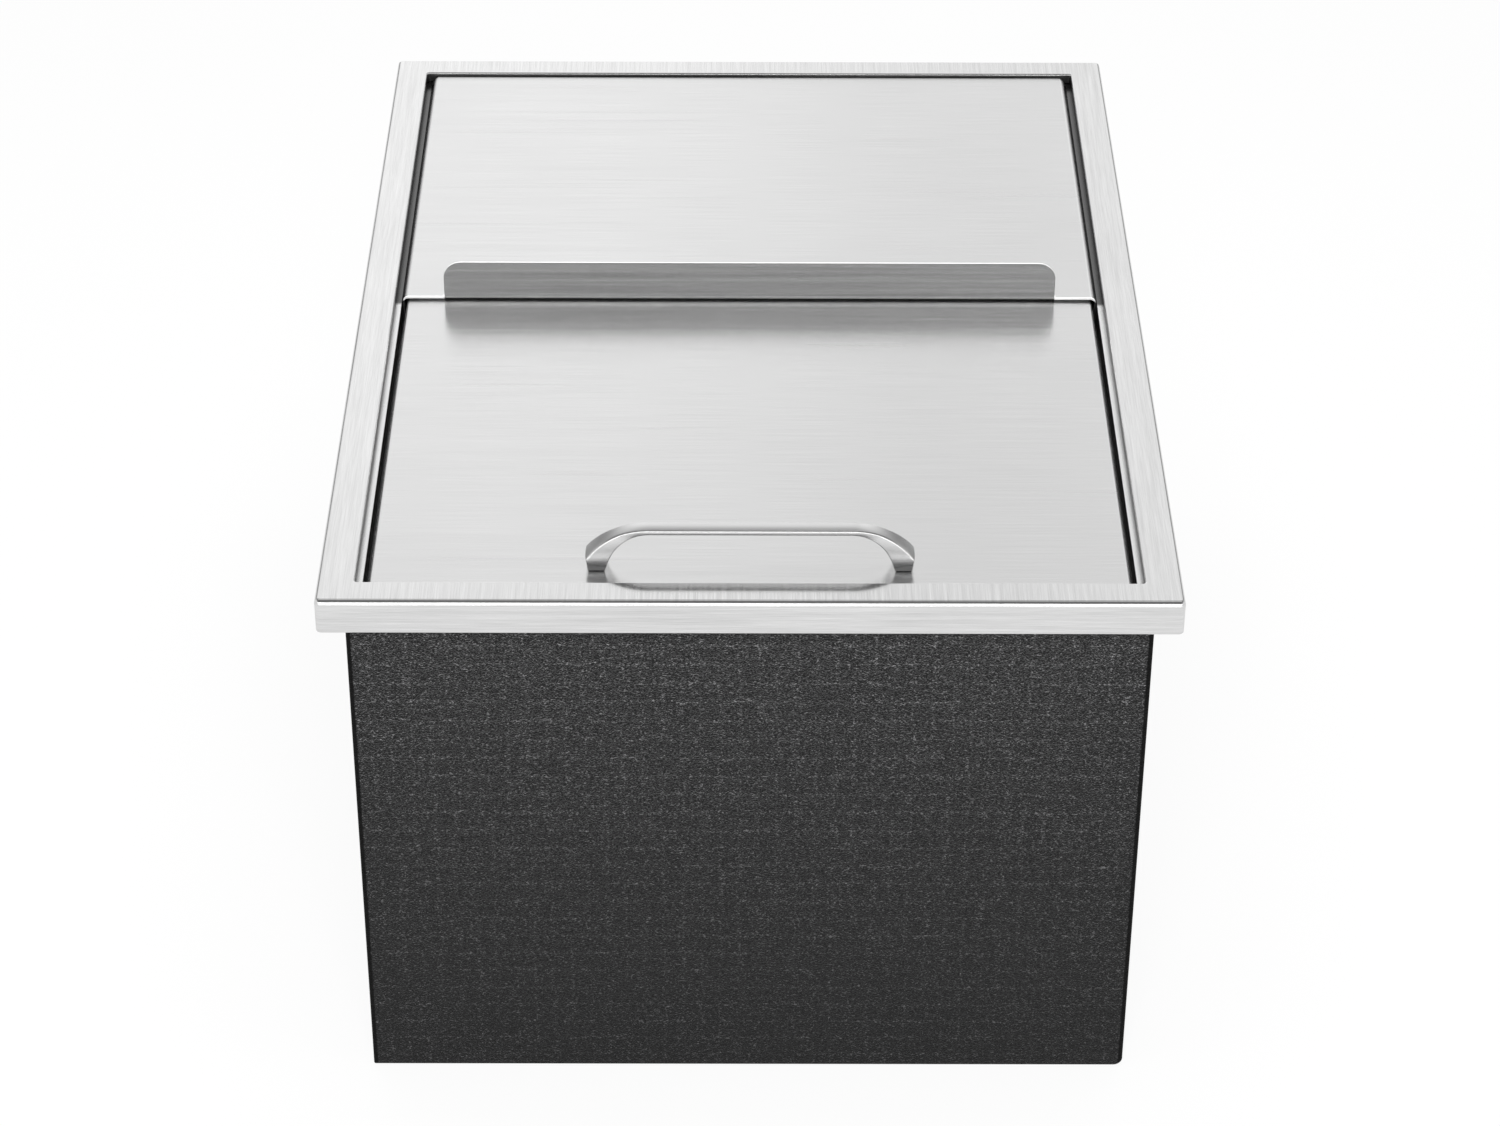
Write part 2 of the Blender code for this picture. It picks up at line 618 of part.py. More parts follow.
def make_casing_shell():
    """Left side, bottom and right side bent from one sheet, open to the front and back."""
    half = SHELL_HALF_X
    corners = [
        (half, CASING_TOP, 0),
        (half, SHELL_BOTTOM, CASING_SOFT_CORNER - CASING_SHEET - GAP),
        (-half, SHELL_BOTTOM, CASING_SEAM_CORNER),
        (-half, CASING_TOP, 0)]
    depth = CASING_DEPTH / 2 - CASING_BEND_RADIUS - GAP
    bm = bmesh.new()
    section = filleted_path(corners)
    loft(bm, [[Vector((x, y, z)) for x, z in section] for y in (depth, -depth)], closed=False)
    face_outwards(bm)
    shell = add_part("casing_shell", bm, EMBOSSED)
    sheet(shell, CASING_SHEET)
    cut(shell, well_cutter("shell_well", -OVERRUN, FOAM_BOTTOM))


def make_end_panel(name, side):
    """A flat panel with its sides and foot folded back round the casing shell."""
    half = CASING_WIDTH / 2
    outline = filleted_path([
        (half, CASING_TOP, 0), (half, 0, CASING_SOFT_CORNER),
        (-half, 0, CASING_SEAM_CORNER), (-half, CASING_TOP, 0)], 4)
    bend = CASING_BEND_RADIUS
    path = filleted_path([(0, PANEL_FLANGE, 0), (0, 0, bend), (bend, 0, 0)])[:-1]
    bm = bmesh.new()
    rows = []
    for inset, back in path:
        share = 1 - inset / half
        lift = 1 - inset / CASING_TOP
        y = side * (CASING_DEPTH / 2 - back)
        rows.append([Vector((
            x * share, y, CASING_TOP - (CASING_TOP - z) * lift)) for x, z in outline])
    made = loft(bm, rows, closed=False)
    bm.faces.new(made[-1])
    face_outwards(bm)
    sheet(add_part(name, bm, EMBOSSED), CASING_SHEET)


def make_rivets():
    """Blind rivets that hold the back panel's folded sides to the casing shell."""
    number = 0
    outside = CASING_WIDTH / 2 + GAP
    for side in (1, -1):
        for share in RIVET_HEIGHT_SHARES:
            number += 1
            profile = [
                (0, RIVET_HEAD_HEIGHT), (RIVET_HEAD_RADIUS / 2, RIVET_HEAD_HEIGHT),
                (RIVET_HEAD_RADIUS, RIVET_HEAD_HEIGHT / 4), (RIVET_HEAD_RADIUS, 0),
                (RIVET_RADIUS, 0), (RIVET_RADIUS, -RIVET_GRIP), (0, -RIVET_GRIP)]
            place = (side * outside, CASING_DEPTH / 2 - PANEL_FLANGE / 2, share * CASING_TOP)
            rivet = turned("back_rivet_%d" % number, profile, BLACK_METAL, place, SMALL_ROUND_STEPS)
            rivet.rotation_euler = (0, side * math.pi / 2, 0)
            for target in ("back_panel", "casing_shell"):
                hole = cylinder_mesh(
                    RIVET_RADIUS + BORE_CLEARANCE, -OVERRUN, OVERRUN, SMALL_ROUND_STEPS)
                cutter = add_cutter("rivet_hole_%d_%s" % (number, target), hole, place)
                cutter.rotation_euler = rivet.rotation_euler
                cut(bpy.data.objects[target], cutter)


def make_foam():
    """Foam that fills the casing, hollowed for the tub and for the well's sleeve."""
    half_x = SHELL_HALF_X - CASING_SHEET - GAP
    half_y = CASING_DEPTH / 2 - CASING_SHEET - GAP
    foam = add_part("foam_insulation", box_mesh(
        (-half_x, -half_y, FOAM_BOTTOM), (half_x, half_y, FOAM_TOP)), FOAM, smooth=False)
    bevel = foam.modifiers.new("shell bend", "BEVEL")
    bevel.width = CASING_SOFT_CORNER
    bevel.segments = BEND_STEPS
    bevel.limit_method = "ANGLE"
    hollow = bmesh.new()
    grow = TUB_SHEET + GAP
    mouth = rounded_rectangle(
        TUB_HALF_X + grow, TUB_HALF_Y + grow, TUB_CORNER_RADIUS + grow, FOAM_TOP + OVERRUN)
    rows = loft(hollow, [mouth] + tub_rings(grow))
    bmesh.ops.triangulate(hollow, faces=hollow.faces, quad_method="FIXED")
    hollow.faces.new(rows[0][::-1])
    hollow.faces.new(rows[-1])
    bmesh.ops.recalc_face_normals(hollow, faces=hollow.faces)
    cut(foam, add_cutter("foam_hollow", hollow))
    cut(foam, well_cutter("foam_well", FOAM_BOTTOM - OVERRUN, SEAT_TOP + OVERRUN))
    flange = cylinder_mesh(
        WELL_RADIUS + WELL_WALL + WELL_FLANGE + GAP, FOAM_BOTTOM - OVERRUN,
        FOAM_BOTTOM + WELL_WALL + GAP, ROUND_STEPS)
    cut(foam, add_cutter("foam_flange", flange))


def make_well_sleeve():
    """Moulded sleeve that keeps a clear well in the foam round the drain's nut."""
    outer = WELL_RADIUS + WELL_WALL
    top = SEAT_TOP + SEAT_DEPTH - TUB_SHEET - GAP
    turned("drain_well_sleeve", [
        (outer, top), (outer, FOAM_BOTTOM + WELL_WALL),
        (outer + WELL_FLANGE, FOAM_BOTTOM + WELL_WALL), (outer + WELL_FLANGE, FOAM_BOTTOM),
        (WELL_RADIUS, FOAM_BOTTOM), (WELL_RADIUS, top)], BLACK_PLASTIC, (0, 0, 0))


def make_drain():
    """Flanged cup and tail, its strainer, and the seal, washer and nut that clamp it."""
    step_out = DRAIN_CUP_RADIUS - DRAIN_WALL
    tail_in = DRAIN_TAIL_RADIUS - DRAIN_WALL
    cup_floor = DRAIN_FLANGE_TOP - DRAIN_CUP_DEPTH
    cup_under = cup_floor - DRAIN_WALL
    round_off = DRAIN_FLANGE_ROUND
    turned("drain_body", [
        (DRAIN_FLANGE_RADIUS - round_off, DRAIN_FLANGE_TOP),
        (DRAIN_FLANGE_RADIUS, DRAIN_FLANGE_TOP - round_off),
        (DRAIN_FLANGE_RADIUS, DRAIN_FLANGE_BOTTOM),
        (DRAIN_CUP_RADIUS, DRAIN_FLANGE_BOTTOM), (DRAIN_CUP_RADIUS, cup_under),
        (DRAIN_TAIL_RADIUS, cup_under), (DRAIN_TAIL_RADIUS, DRAIN_TAIL_END),
        (tail_in, DRAIN_TAIL_END), (tail_in, cup_floor),
        (step_out, cup_floor), (step_out, DRAIN_FLANGE_TOP - round_off),
        (step_out + round_off, DRAIN_FLANGE_TOP)], POLISHED, (0, 0, 0))
    strainer = turned("drain_strainer", [
        (0, STRAINER_TOP), (step_out - BORE_CLEARANCE, STRAINER_TOP),
        (step_out - BORE_CLEARANCE, STRAINER_TOP - STRAINER_THICKNESS),
        (0, STRAINER_TOP - STRAINER_THICKNESS)], POLISHED, (0, 0, 0))
    for number in range(STRAINER_HOLES):
        angle = 2 * math.pi * number / STRAINER_HOLES
        hole = cylinder_mesh(
            STRAINER_HOLE_RADIUS, STRAINER_TOP - OVERRUN, STRAINER_TOP + OVERRUN, SMALL_ROUND_STEPS)
        place = (STRAINER_HOLE_CIRCLE * math.cos(angle), STRAINER_HOLE_CIRCLE * math.sin(angle), 0)
        cut(strainer, add_cutter("strainer_hole_%d" % (number + 1), hole, place))
    bore = DRAIN_CUP_RADIUS + BORE_CLEARANCE
    turned("drain_seal", ring_profile(
        bore, SEAL_RADIUS, SEAT_TOP + GAP, SEAT_TOP + GAP + SEAL_THICKNESS), RUBBER, (0, 0, 0))
    washer_top = SEAT_TOP - TUB_SHEET - GAP
    turned("drain_washer", ring_profile(
        bore, WASHER_RING_RADIUS, washer_top - WASHER_RING_THICKNESS, washer_top),
        BLACK_PLASTIC, (0, 0, 0))
    nut_top = washer_top - WASHER_RING_THICKNESS - GAP
    nut_mesh = cylinder_mesh(NUT_ACROSS_CORNERS / 2, nut_top - NUT_HEIGHT, nut_top, 6)
    nut = add_part("drain_lock_nut", nut_mesh, BLACK_PLASTIC, smooth=False)
    chamfer = nut.modifiers.new("chamfer", "BEVEL")
    chamfer.width = NUT_CHAMFER
    chamfer.segments = 1
    chamfer.limit_method = "ANGLE"
    chamfer.angle_limit = math.radians(80)
    cut(nut, add_cutter("nut_bore", cylinder_mesh(
        bore, nut_top - NUT_HEIGHT - OVERRUN, nut_top + OVERRUN, ROUND_STEPS)))


def make_stopper():
    """Tapered rubber plug with a flat head and a lug, and the wire ring that lifts it."""
    base = DRAIN_FLANGE_TOP + GAP
    top = base + STOPPER_HEAD_HEIGHT
    stopper = turned("drain_stopper", [
        (0, top), (STOPPER_HEAD_RADIUS - STOPPER_EDGE_RADIUS, top),
        (STOPPER_HEAD_RADIUS, top - STOPPER_EDGE_RADIUS), (STOPPER_HEAD_RADIUS, base),
        (STOPPER_TOP_RADIUS, base),
        (STOPPER_FOOT_RADIUS, base - STOPPER_HEIGHT + STOPPER_EDGE_RADIUS),
        (STOPPER_FOOT_RADIUS - STOPPER_EDGE_RADIUS, base - STOPPER_HEIGHT),
        (0, base - STOPPER_HEIGHT)], RUBBER, (0, 0, 0))
    half = STOPPER_LUG_THICKNESS / 2
    lug_top = top + STOPPER_LUG_HEIGHT
    radius = STOPPER_LUG_WIDTH / 2
    foot = top - STOPPER_HEAD_HEIGHT / 2
    outline = [(radius, foot)]
    for step in range(LUG_STEPS + 1):
        angle = math.pi * step / LUG_STEPS
        outline.append((radius * math.cos(angle), lug_top - radius + radius * math.sin(angle)))
    lug = bmesh.new()
    prism(lug, outline + [(-radius, foot)], -half, half)
    union = stopper.modifiers.new("lug", "BOOLEAN")
    union.operation = "UNION"
    union.solver = "EXACT"
    union.object = add_cutter("stopper_lug", lug)
    eye = cylinder_mesh(STOPPER_LUG_HOLE, -STOPPER_LUG_WIDTH, STOPPER_LUG_WIDTH, SMALL_ROUND_STEPS)
    eye_height = lug_top - radius
    cutter = add_cutter("stopper_eye", eye, (0, 0, eye_height))
    cutter.rotation_euler = (math.pi / 2, 0, 0)
    cut(stopper, cutter)
    ring = bmesh.new()
    rows = []
    for step in range(ROUND_STEPS):
        around = 2 * math.pi * step / ROUND_STEPS
        row = []
        for side in range(WIRE_SIDES):
            wire = 2 * math.pi * side / WIRE_SIDES
            reach = RING_RADIUS + RING_WIRE_RADIUS * math.cos(wire)
            row.append(Vector((
                RING_WIRE_RADIUS * math.sin(wire), reach * math.sin(around),
                RING_RADIUS + reach * math.cos(around))))
        rows.append(row)
    loft(ring, rows + rows[:1])
    bmesh.ops.remove_doubles(ring, verts=ring.verts, dist=MERGE_DISTANCE)
    bmesh.ops.recalc_face_normals(ring, faces=ring.faces)
    wire_ring = add_part("stopper_ring", ring, POLISHED, (0, 0, eye_height))
    wire_ring.rotation_euler = (0, RING_TILT, 0)


clear_scene()
PARTS = new_collection("drop_in_ice_bin")
CUTTERS = new_collection("cutters")
BRUSHED = finish_material("brushed stainless", (0.62, 0.62, 0.62), 0.32, 1.0)
HANDLE_STEEL = finish_material("satin handle steel", (0.55, 0.55, 0.55), 0.28, 1.0)
TUB_STEEL = finish_material("tub stainless", (0.60, 0.60, 0.60), 0.36, 1.0)
POLISHED = finish_material("polished steel", (0.66, 0.66, 0.66), 0.15, 1.0)
ZINC = finish_material("zinc plate", (0.50, 0.51, 0.53), 0.40, 1.0)
EMBOSSED = finish_material("black embossed sheet", (0.03, 0.03, 0.03), 0.55, 0.0)
BLACK_METAL = finish_material("black rivet", (0.02, 0.02, 0.02), 0.45, 0.0)
BLACK_PLASTIC = finish_material("black plastic", (0.02, 0.02, 0.02), 0.50, 0.0)
RUBBER = finish_material("black rubber", (0.015, 0.015, 0.015), 0.80, 0.0)
FOAM = finish_material("insulating foam", (0.72, 0.66, 0.50), 0.90, 0.0)

make_rim()
make_tracks()
make_tub()
make_front_cover()
make_rear_cover()
make_handle()
make_handle_fixings()
make_casing_shell()
make_end_panel("front_panel", -1)
make_end_panel("back_panel", 1)
make_foam()
make_rivets()
make_well_sleeve()
make_drain()
make_stopper()
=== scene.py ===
"""Looks of a drop in ice bin: brushed stainless covers and rim over a black embossed casing."""

import math

import bmesh
import bpy
from mathutils import Matrix, Vector


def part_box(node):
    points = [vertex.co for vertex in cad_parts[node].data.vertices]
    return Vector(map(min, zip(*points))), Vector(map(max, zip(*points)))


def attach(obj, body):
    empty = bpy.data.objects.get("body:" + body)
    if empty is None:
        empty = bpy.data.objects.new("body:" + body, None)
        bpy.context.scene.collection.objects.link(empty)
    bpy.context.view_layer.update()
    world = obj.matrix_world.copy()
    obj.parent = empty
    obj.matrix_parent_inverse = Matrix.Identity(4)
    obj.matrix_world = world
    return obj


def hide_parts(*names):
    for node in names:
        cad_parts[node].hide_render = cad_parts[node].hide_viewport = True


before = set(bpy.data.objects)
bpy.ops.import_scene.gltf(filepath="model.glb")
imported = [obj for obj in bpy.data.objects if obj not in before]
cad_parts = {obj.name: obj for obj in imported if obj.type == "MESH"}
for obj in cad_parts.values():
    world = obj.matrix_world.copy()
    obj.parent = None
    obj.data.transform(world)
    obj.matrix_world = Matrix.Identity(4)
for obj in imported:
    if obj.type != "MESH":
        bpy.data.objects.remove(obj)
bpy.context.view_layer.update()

# Rim
# Folded from 1.2 mm stainless: a flat top strip, a skirt that leans back into the top and is turned
# under at its foot, and a short inner fold. The corners are welded and dressed smooth. The top is
# brushed from front to back and the skirt along its length.


def bend_path(corners, steps=8):
    """Points along (u, v, radius) corners, with an arc of that radius at each inner corner."""
    points = [Vector(corners[0][:2])]
    for before, corner, after in zip(corners, corners[1:], corners[2:]):
        here = Vector(corner[:2])
        into = (here - Vector(before[:2])).normalized()
        out = (Vector(after[:2]) - here).normalized()
        turn = math.atan2(into.x * out.y - into.y * out.x, into.dot(out))
        start = here - into * corner[2] * math.tan(abs(turn) / 2)
        centre = start + Vector((-into.y, into.x)) * math.copysign(corner[2], turn)
        for step in range(steps + 1):
            points.append(centre + Matrix.Rotation(turn * step / steps, 2) @ (start - centre))
    points.append(Vector(corners[-1][:2]))
    return points


def corner_ring(half_x, half_y, radius, height, middle_y=0.0, steps=8):
    """A ring round a rectangle with rounded corners, anticlockwise from above."""
    ring = []
    for sign_x, sign_y, start in ((1, -1, -90), (1, 1, 0), (-1, 1, 90), (-1, -1, 180)):
        for step in range(steps + 1):
            angle = math.radians(start + 90 * step / steps)
            ring.append(Vector((
                sign_x * (half_x - radius) + radius * math.cos(angle),
                sign_y * (half_y - radius) + radius * math.sin(angle) + middle_y, height)))
    return ring


def join_rings(bm, rings, closed=True):
    """Skins rows of points that have the same count."""
    rows = [[bm.verts.new(point) for point in ring] for ring in rings]
    for low, high in zip(rows, rows[1:]):
        for i in range(len(low) if closed else len(low) - 1):
            j = (i + 1) % len(low)
            bm.faces.new((low[i], low[j], high[j], high[i]))
    return rows


def metal_piece(name, bm, thickness=0.0, edge=0.0, edge_steps=2, edge_highlight=None):
    """A piece from a bmesh, given sheet thickness and eased edges, and made plain mesh.

    An edge_highlight finish, a painted highlight, goes on the sheet's edges as its second material.
    """
    mesh = bpy.data.meshes.new(name)
    bm.to_mesh(mesh)
    bm.free()
    piece = bpy.data.objects.new(name, mesh)
    bpy.context.scene.collection.objects.link(piece)
    if edge_highlight:
        mesh.materials.append(edge_highlight)
        mesh.materials.append(edge_highlight)
    if thickness:
        sheet = piece.modifiers.new("sheet", "SOLIDIFY")
        sheet.thickness = thickness
        sheet.offset = -1
        sheet.use_even_offset = True
        sheet.material_offset_rim = 1 if edge_highlight else 0
    if edge:
        eased = piece.modifiers.new("eased edges", "BEVEL")
        eased.width = edge
        eased.segments = edge_steps
        eased.limit_method = "ANGLE"
        eased.material = 1 if edge_highlight else -1
        eased.angle_limit = math.radians(50)
    graph = bpy.context.evaluated_depsgraph_get()
    piece.data = bpy.data.meshes.new_from_object(piece.evaluated_get(graph))
    piece.modifiers.clear()
    piece.data.shade_smooth()
    piece.data.set_sharp_from_angle(angle=math.radians(38))
    piece.modifiers.new("flat faces stay flat", "WEIGHTED_NORMAL").keep_sharp = True
    return piece


def finish_faces(piece, material, chosen):
    """Puts a second finish on the faces that a test of their middle and normal picks."""
    if len(piece.data.materials) < 2:
        piece.data.materials.append(material)
        piece.data.materials.append(material)
        for face in piece.data.polygons:
            face.material_index = 0
    for face in piece.data.polygons:
        if chosen(face.center, face.normal):
            face.material_index = 1


def lay_grain(piece, on_top, on_front, on_side):
    """Maps each face with U along the brushing. Each value is the grain's axis, 0 to 2."""
    mesh = piece.data
    layer = mesh.uv_layers.new(name="grain")
    for face in mesh.polygons:
        looks = max(range(3), key=lambda axis: abs(face.normal[axis]))
        along = (on_side, on_front, on_top)[looks]
        across = 3 - looks - along
        for loop in face.loop_indices:
            point = mesh.vertices[mesh.loops[loop].vertex_index].co
            layer.data[loop].uv = (point[along], point[across])


def fit_piece(piece, material, body, slot, *nodes):
    """Gives a piece its finish and its body, and lets it stand for its CAD nodes."""
    if piece.data.materials:
        piece.data.materials[0] = material
    else:
        piece.data.materials.append(material)
    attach(piece, body)
    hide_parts(*nodes)


def add_node(tree, kind, inputs, **settings):
    """A shader node whose inputs are set to values or linked to other nodes' sockets."""
    made = tree.nodes.new("ShaderNode" + kind)
    for key, value in settings.items():
        setattr(made, key, value)
    for key, value in inputs.items():
        if isinstance(value, bpy.types.NodeSocket):
            tree.links.new(value, made.inputs[key])
        else:
            made.inputs[key].default_value = value
    return made


def maths(tree, operation, first, second=0.0, third=0.0):
    return add_node(tree, "Math", {0: first, 1: second, 2: third}, operation=operation).outputs[0]


def new_finish(name):
    """A new material, its nodes and its main shader."""
    material = bpy.data.materials.new(name)
    material.use_nodes = True
    return material, material.node_tree, material.node_tree.nodes["Principled BSDF"]


def new_effect(name, inputs, outputs):
    """An empty shader group with named sockets, and its input and output sockets."""
    group = bpy.data.node_groups.new(name, "ShaderNodeTree")
    for direction, sockets in (("INPUT", inputs), ("OUTPUT", outputs)):
        for label, kind in sockets:
            group.interface.new_socket(
                name=label, in_out=direction, socket_type="NodeSocket" + kind)
    given = group.nodes.new("NodeGroupInput").outputs
    return group, given, group.nodes.new("NodeGroupOutput").inputs


brushing, given, gives = new_effect(
    "brushing",
    [("Place", "Vector"), ("Tone", "Color"), ("Roughness", "Float"), ("Streak Length", "Float"),
     ("Streak Width", "Float"), ("Contrast", "Float")],
    [("Color", "Color"), ("Roughness", "Float"), ("Height", "Float")])
coarse_share, cloud_share = 0.8, 0.35
least_roughness, roughness_swing = 0.7, 0.6
spot = add_node(brushing, "SeparateXYZ", {0: given["Place"]}).outputs
streak_noise = []
for length_share, width_share, detail in ((1.0, 1.0, 2.0), (4.0, 5.0, 1.0)):
    along = maths(brushing, "DIVIDE", spot[0], maths(
        brushing, "MULTIPLY", given["Streak Length"], length_share))
    across = maths(brushing, "DIVIDE", spot[1], maths(
        brushing, "MULTIPLY", given["Streak Width"], width_share))
    streak = add_node(brushing, "CombineXYZ", {0: along, 1: across, 2: spot[2]})
    streak_noise.append(add_node(brushing, "TexNoise", {
        "Vector": streak.outputs[0], "Scale": 1.0, "Detail": detail,
        "Roughness": 0.6}).outputs["Fac"])
cloud = add_node(brushing, "TexNoise", {
    "Vector": given["Place"], "Scale": 9.0, "Detail": 2.0}).outputs["Fac"]
swing = maths(brushing, "ADD", maths(brushing, "SUBTRACT", streak_noise[0], 0.5), maths(
    brushing, "MULTIPLY", maths(brushing, "SUBTRACT", streak_noise[1], 0.5), coarse_share))
swing = maths(brushing, "ADD", swing, maths(
    brushing, "MULTIPLY", maths(brushing, "SUBTRACT", cloud, 0.5), cloud_share))
level = maths(brushing, "ADD", maths(brushing, "MULTIPLY", swing, given["Contrast"]), 1.0)
brushing.links.new(add_node(brushing, "VectorMath", {
    0: given["Tone"], "Scale": level}, operation="SCALE").outputs[0], gives["Color"])
uneven = maths(brushing, "ADD", maths(
    brushing, "MULTIPLY", streak_noise[1], roughness_swing), least_roughness)
brushing.links.new(maths(brushing, "MULTIPLY", given["Roughness"], uneven), gives["Roughness"])
brushing.links.new(streak_noise[0], gives["Height"])


def brushed_steel(name, tone, roughness, streak_length, streak_width, contrast, spread, bump):
    """Stainless with a one way grain that stretches what it reflects across the brushing."""
    material, tree, shader = new_finish(name)
    shader.inputs["Metallic"].default_value = 1.0
    shader.inputs["Anisotropic"].default_value = spread
    shader.inputs["Anisotropic Rotation"].default_value = 0.25
    grain = add_node(tree, "Group", {
        "Place": add_node(tree, "UVMap", {}, uv_map="grain").outputs[0],
        "Tone": (tone, tone, tone, 1), "Roughness": roughness, "Streak Length": streak_length,
        "Streak Width": streak_width, "Contrast": contrast}, node_tree=brushing)
    tree.links.new(grain.outputs["Color"], shader.inputs["Base Color"])
    tree.links.new(grain.outputs["Roughness"], shader.inputs["Roughness"])
    bumps = add_node(tree, "Bump", {
        "Strength": bump, "Distance": 0.0001, "Height": grain.outputs["Height"]})
    tree.links.new(bumps.outputs[0], shader.inputs["Normal"])
    tree.links.new(add_node(
        tree, "Tangent", {}, direction_type="UV_MAP", uv_map="grain").outputs[0],
        shader.inputs["Tangent"])
    return material


rim_low, rim_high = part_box("rim_frame")
rim_top = rim_high.z
rim_sheet = 0.0012
side_strip = 0.0198
end_strip = 0.0180
skirt_foot = rim_low.z
skirt_return = 0.0105
skirt_bend = 0.0010
skirt_corner = 0.0030
return_corner = 0.0006
brow_height = 0.0028
brow_lean = 0.0008
brow_bend = 0.0020
inner_drop = 0.0062
inner_bend = 0.0009
inner_corner = 0.0016
rim_edge = 0.0002

rings = []
for inset, height in bend_path([
        (skirt_return, skirt_foot, 0), (0, skirt_foot, skirt_bend),
        (0, rim_top - brow_height, skirt_bend), (brow_lean, rim_top, brow_bend),
        (side_strip, rim_top, inner_bend), (side_strip, rim_top - inner_drop, 0)], 10):
    if inset > side_strip / 2 and height > skirt_foot:
        past = side_strip - inset
        rings.append(corner_ring(
            rim_high.x - side_strip + past, rim_high.y - end_strip + past, inner_corner + past,
            height))
    else:
        rings.append(corner_ring(
            rim_high.x - inset, rim_high.y - inset, max(skirt_corner - inset, return_corner),
            height))
bm = bmesh.new()
join_rings(bm, rings)
rim = metal_piece("rim_sheet", bm, rim_sheet, rim_edge)
lay_grain(rim, 1, 0, 1)
rim_steel = brushed_steel("rim brushed stainless", 0.81, 0.15, 0.024, 0.0005, 0.34, 0.85, 0.12)
# A dark stainless for faces down in the slots beside the covers: painted shade. The rim's inner
# fold below its top bend takes it.
fold_shade_steel = brushed_steel("fold stainless painted shade", 0.20, 0.45, 0.030, 0.0007, 0.20, 0.20, 0.10)
fold_start = 0.0013
fold_reach = 0.0005
finish_faces(rim, fold_shade_steel, lambda middle, normal: (
    middle.z < rim_top - fold_start and abs(middle.x) < rim_high.x - side_strip + fold_reach
    and abs(middle.y) < rim_high.y - end_strip + fold_reach))
fit_piece(rim, rim_steel, "bin", "brushed_stainless", "rim_frame")

# Cover tracks
# Four Z shaped strips of 1.2 mm stainless, mitred and welded under the rim's inner fold. The
# shoulder at the top carries the rear cover's back and the ledge carries both covers' sides. The
# half under the rear cover is darkened as painted shade, and so are the faces below the shoulder.
fit_gap = 0.0003
track_sheet = 0.0012
track_bend = 0.0006
track_inner_bend = 0.0001
track_edge = 0.00015
mitre_gap = 0.00015
shoulder_lap = 0.0009
shoulder_width = 0.0026
shoulder_tuck = 0.0030
shoulder_top = rim_top - inner_drop - fit_gap
ledge_drop = 0.0190
ledge_top = rim_top - ledge_drop
ledge_width = 0.0140
web_x = rim_high.x - side_strip - shoulder_width
web_y = rim_high.y - end_strip - shoulder_width
tuck = shoulder_width + shoulder_tuck
track_section = bend_path([
    (tuck, shoulder_top - track_sheet, 0),
    (track_sheet - shoulder_lap, shoulder_top - track_sheet, track_inner_bend),
    (track_sheet - shoulder_lap, ledge_top - track_sheet, track_bend),
    (-ledge_width, ledge_top - track_sheet, 0)]) + bend_path([
        (-ledge_width, ledge_top, 0), (-shoulder_lap, ledge_top, track_inner_bend),
        (-shoulder_lap, shoulder_top, track_bend), (tuck, shoulder_top, 0)])
track_steel = brushed_steel("track stainless", 0.80, 0.26, 0.030, 0.0007, 0.20, 0.50, 0.10)
tree = track_steel.node_tree
# Behind the covers' join the track's tone falls to a sixth: painted shade under the rear cover.
lit_front_end = 0.006
painted_shade_start = 0.009
place = add_node(tree, "SeparateXYZ", {0: add_node(tree, "TexCoord", {}).outputs["Object"]})
track_shade_under_cover = add_node(tree, "MapRange", {
    "Value": place.outputs[1], "From Min": lit_front_end, "From Max": painted_shade_start, "To Min": 0.95,
    "To Max": 0.15})
tree.links.new(track_shade_under_cover.outputs[0], tree.nodes["Group"].inputs["Tone"])
for node, web, half_length, turn in (
        ("right_cover_track", web_x, web_y, 0), ("left_cover_track", web_x, web_y, math.pi),
        ("rear_cover_track", web_y, web_x, math.pi / 2),
        ("front_cover_track", web_y, web_x, -math.pi / 2)):
    bm = bmesh.new()
    rows = join_rings(bm, [
        [Vector((web + out, side * (half_length + out - mitre_gap), z)) for out, z in track_section]
        for side in (1, -1)])
    bm.faces.new(rows[0][::-1])
    bm.faces.new(rows[1])
    bmesh.ops.recalc_face_normals(bm, faces=bm.faces)
    bmesh.ops.rotate(bm, verts=bm.verts, cent=(0, 0, 0), matrix=Matrix.Rotation(turn, 3, "Z"))
    track = metal_piece(node + "_strip", bm, 0, track_edge)
    long_way = 1 if web == web_x else 0
    lay_grain(track, long_way, 0, 1)
    # Faces below the shoulder take the dark fold finish: painted shade in the slot beside the
    # covers.
    finish_faces(track, fold_shade_steel, lambda middle, normal: middle.z < shoulder_top - fit_gap)
    fit_piece(track, track_steel, "bin", "brushed_stainless", node)

# Ice tub
# Drawn from 0.8 mm stainless with deep rounded corners and a floor that falls to a sunk seat
# for the drain. Its flange is bonded under the tracks. Inside it has a dull, even satin.
tub_sheet = 0.0008
tub_bend = 0.0030
tub_x = web_x - ledge_width - tub_bend
tub_y = web_y - ledge_width - tub_bend
tub_flange_top = ledge_top - track_sheet - fit_gap
tub_flange_tuck = 0.0040
tub_corner = 0.0280
tub_floor_bend = 0.0140
tub_taper = 0.0040
tub_floor = 0.0370
tub_fall = 0.0040
seat_radius = 0.0300
seat_depth = 0.0042
seat_top = tub_floor - tub_fall - seat_depth
seat_bend = 0.0014
seat_hole = 0.0193
tub_steps = 16

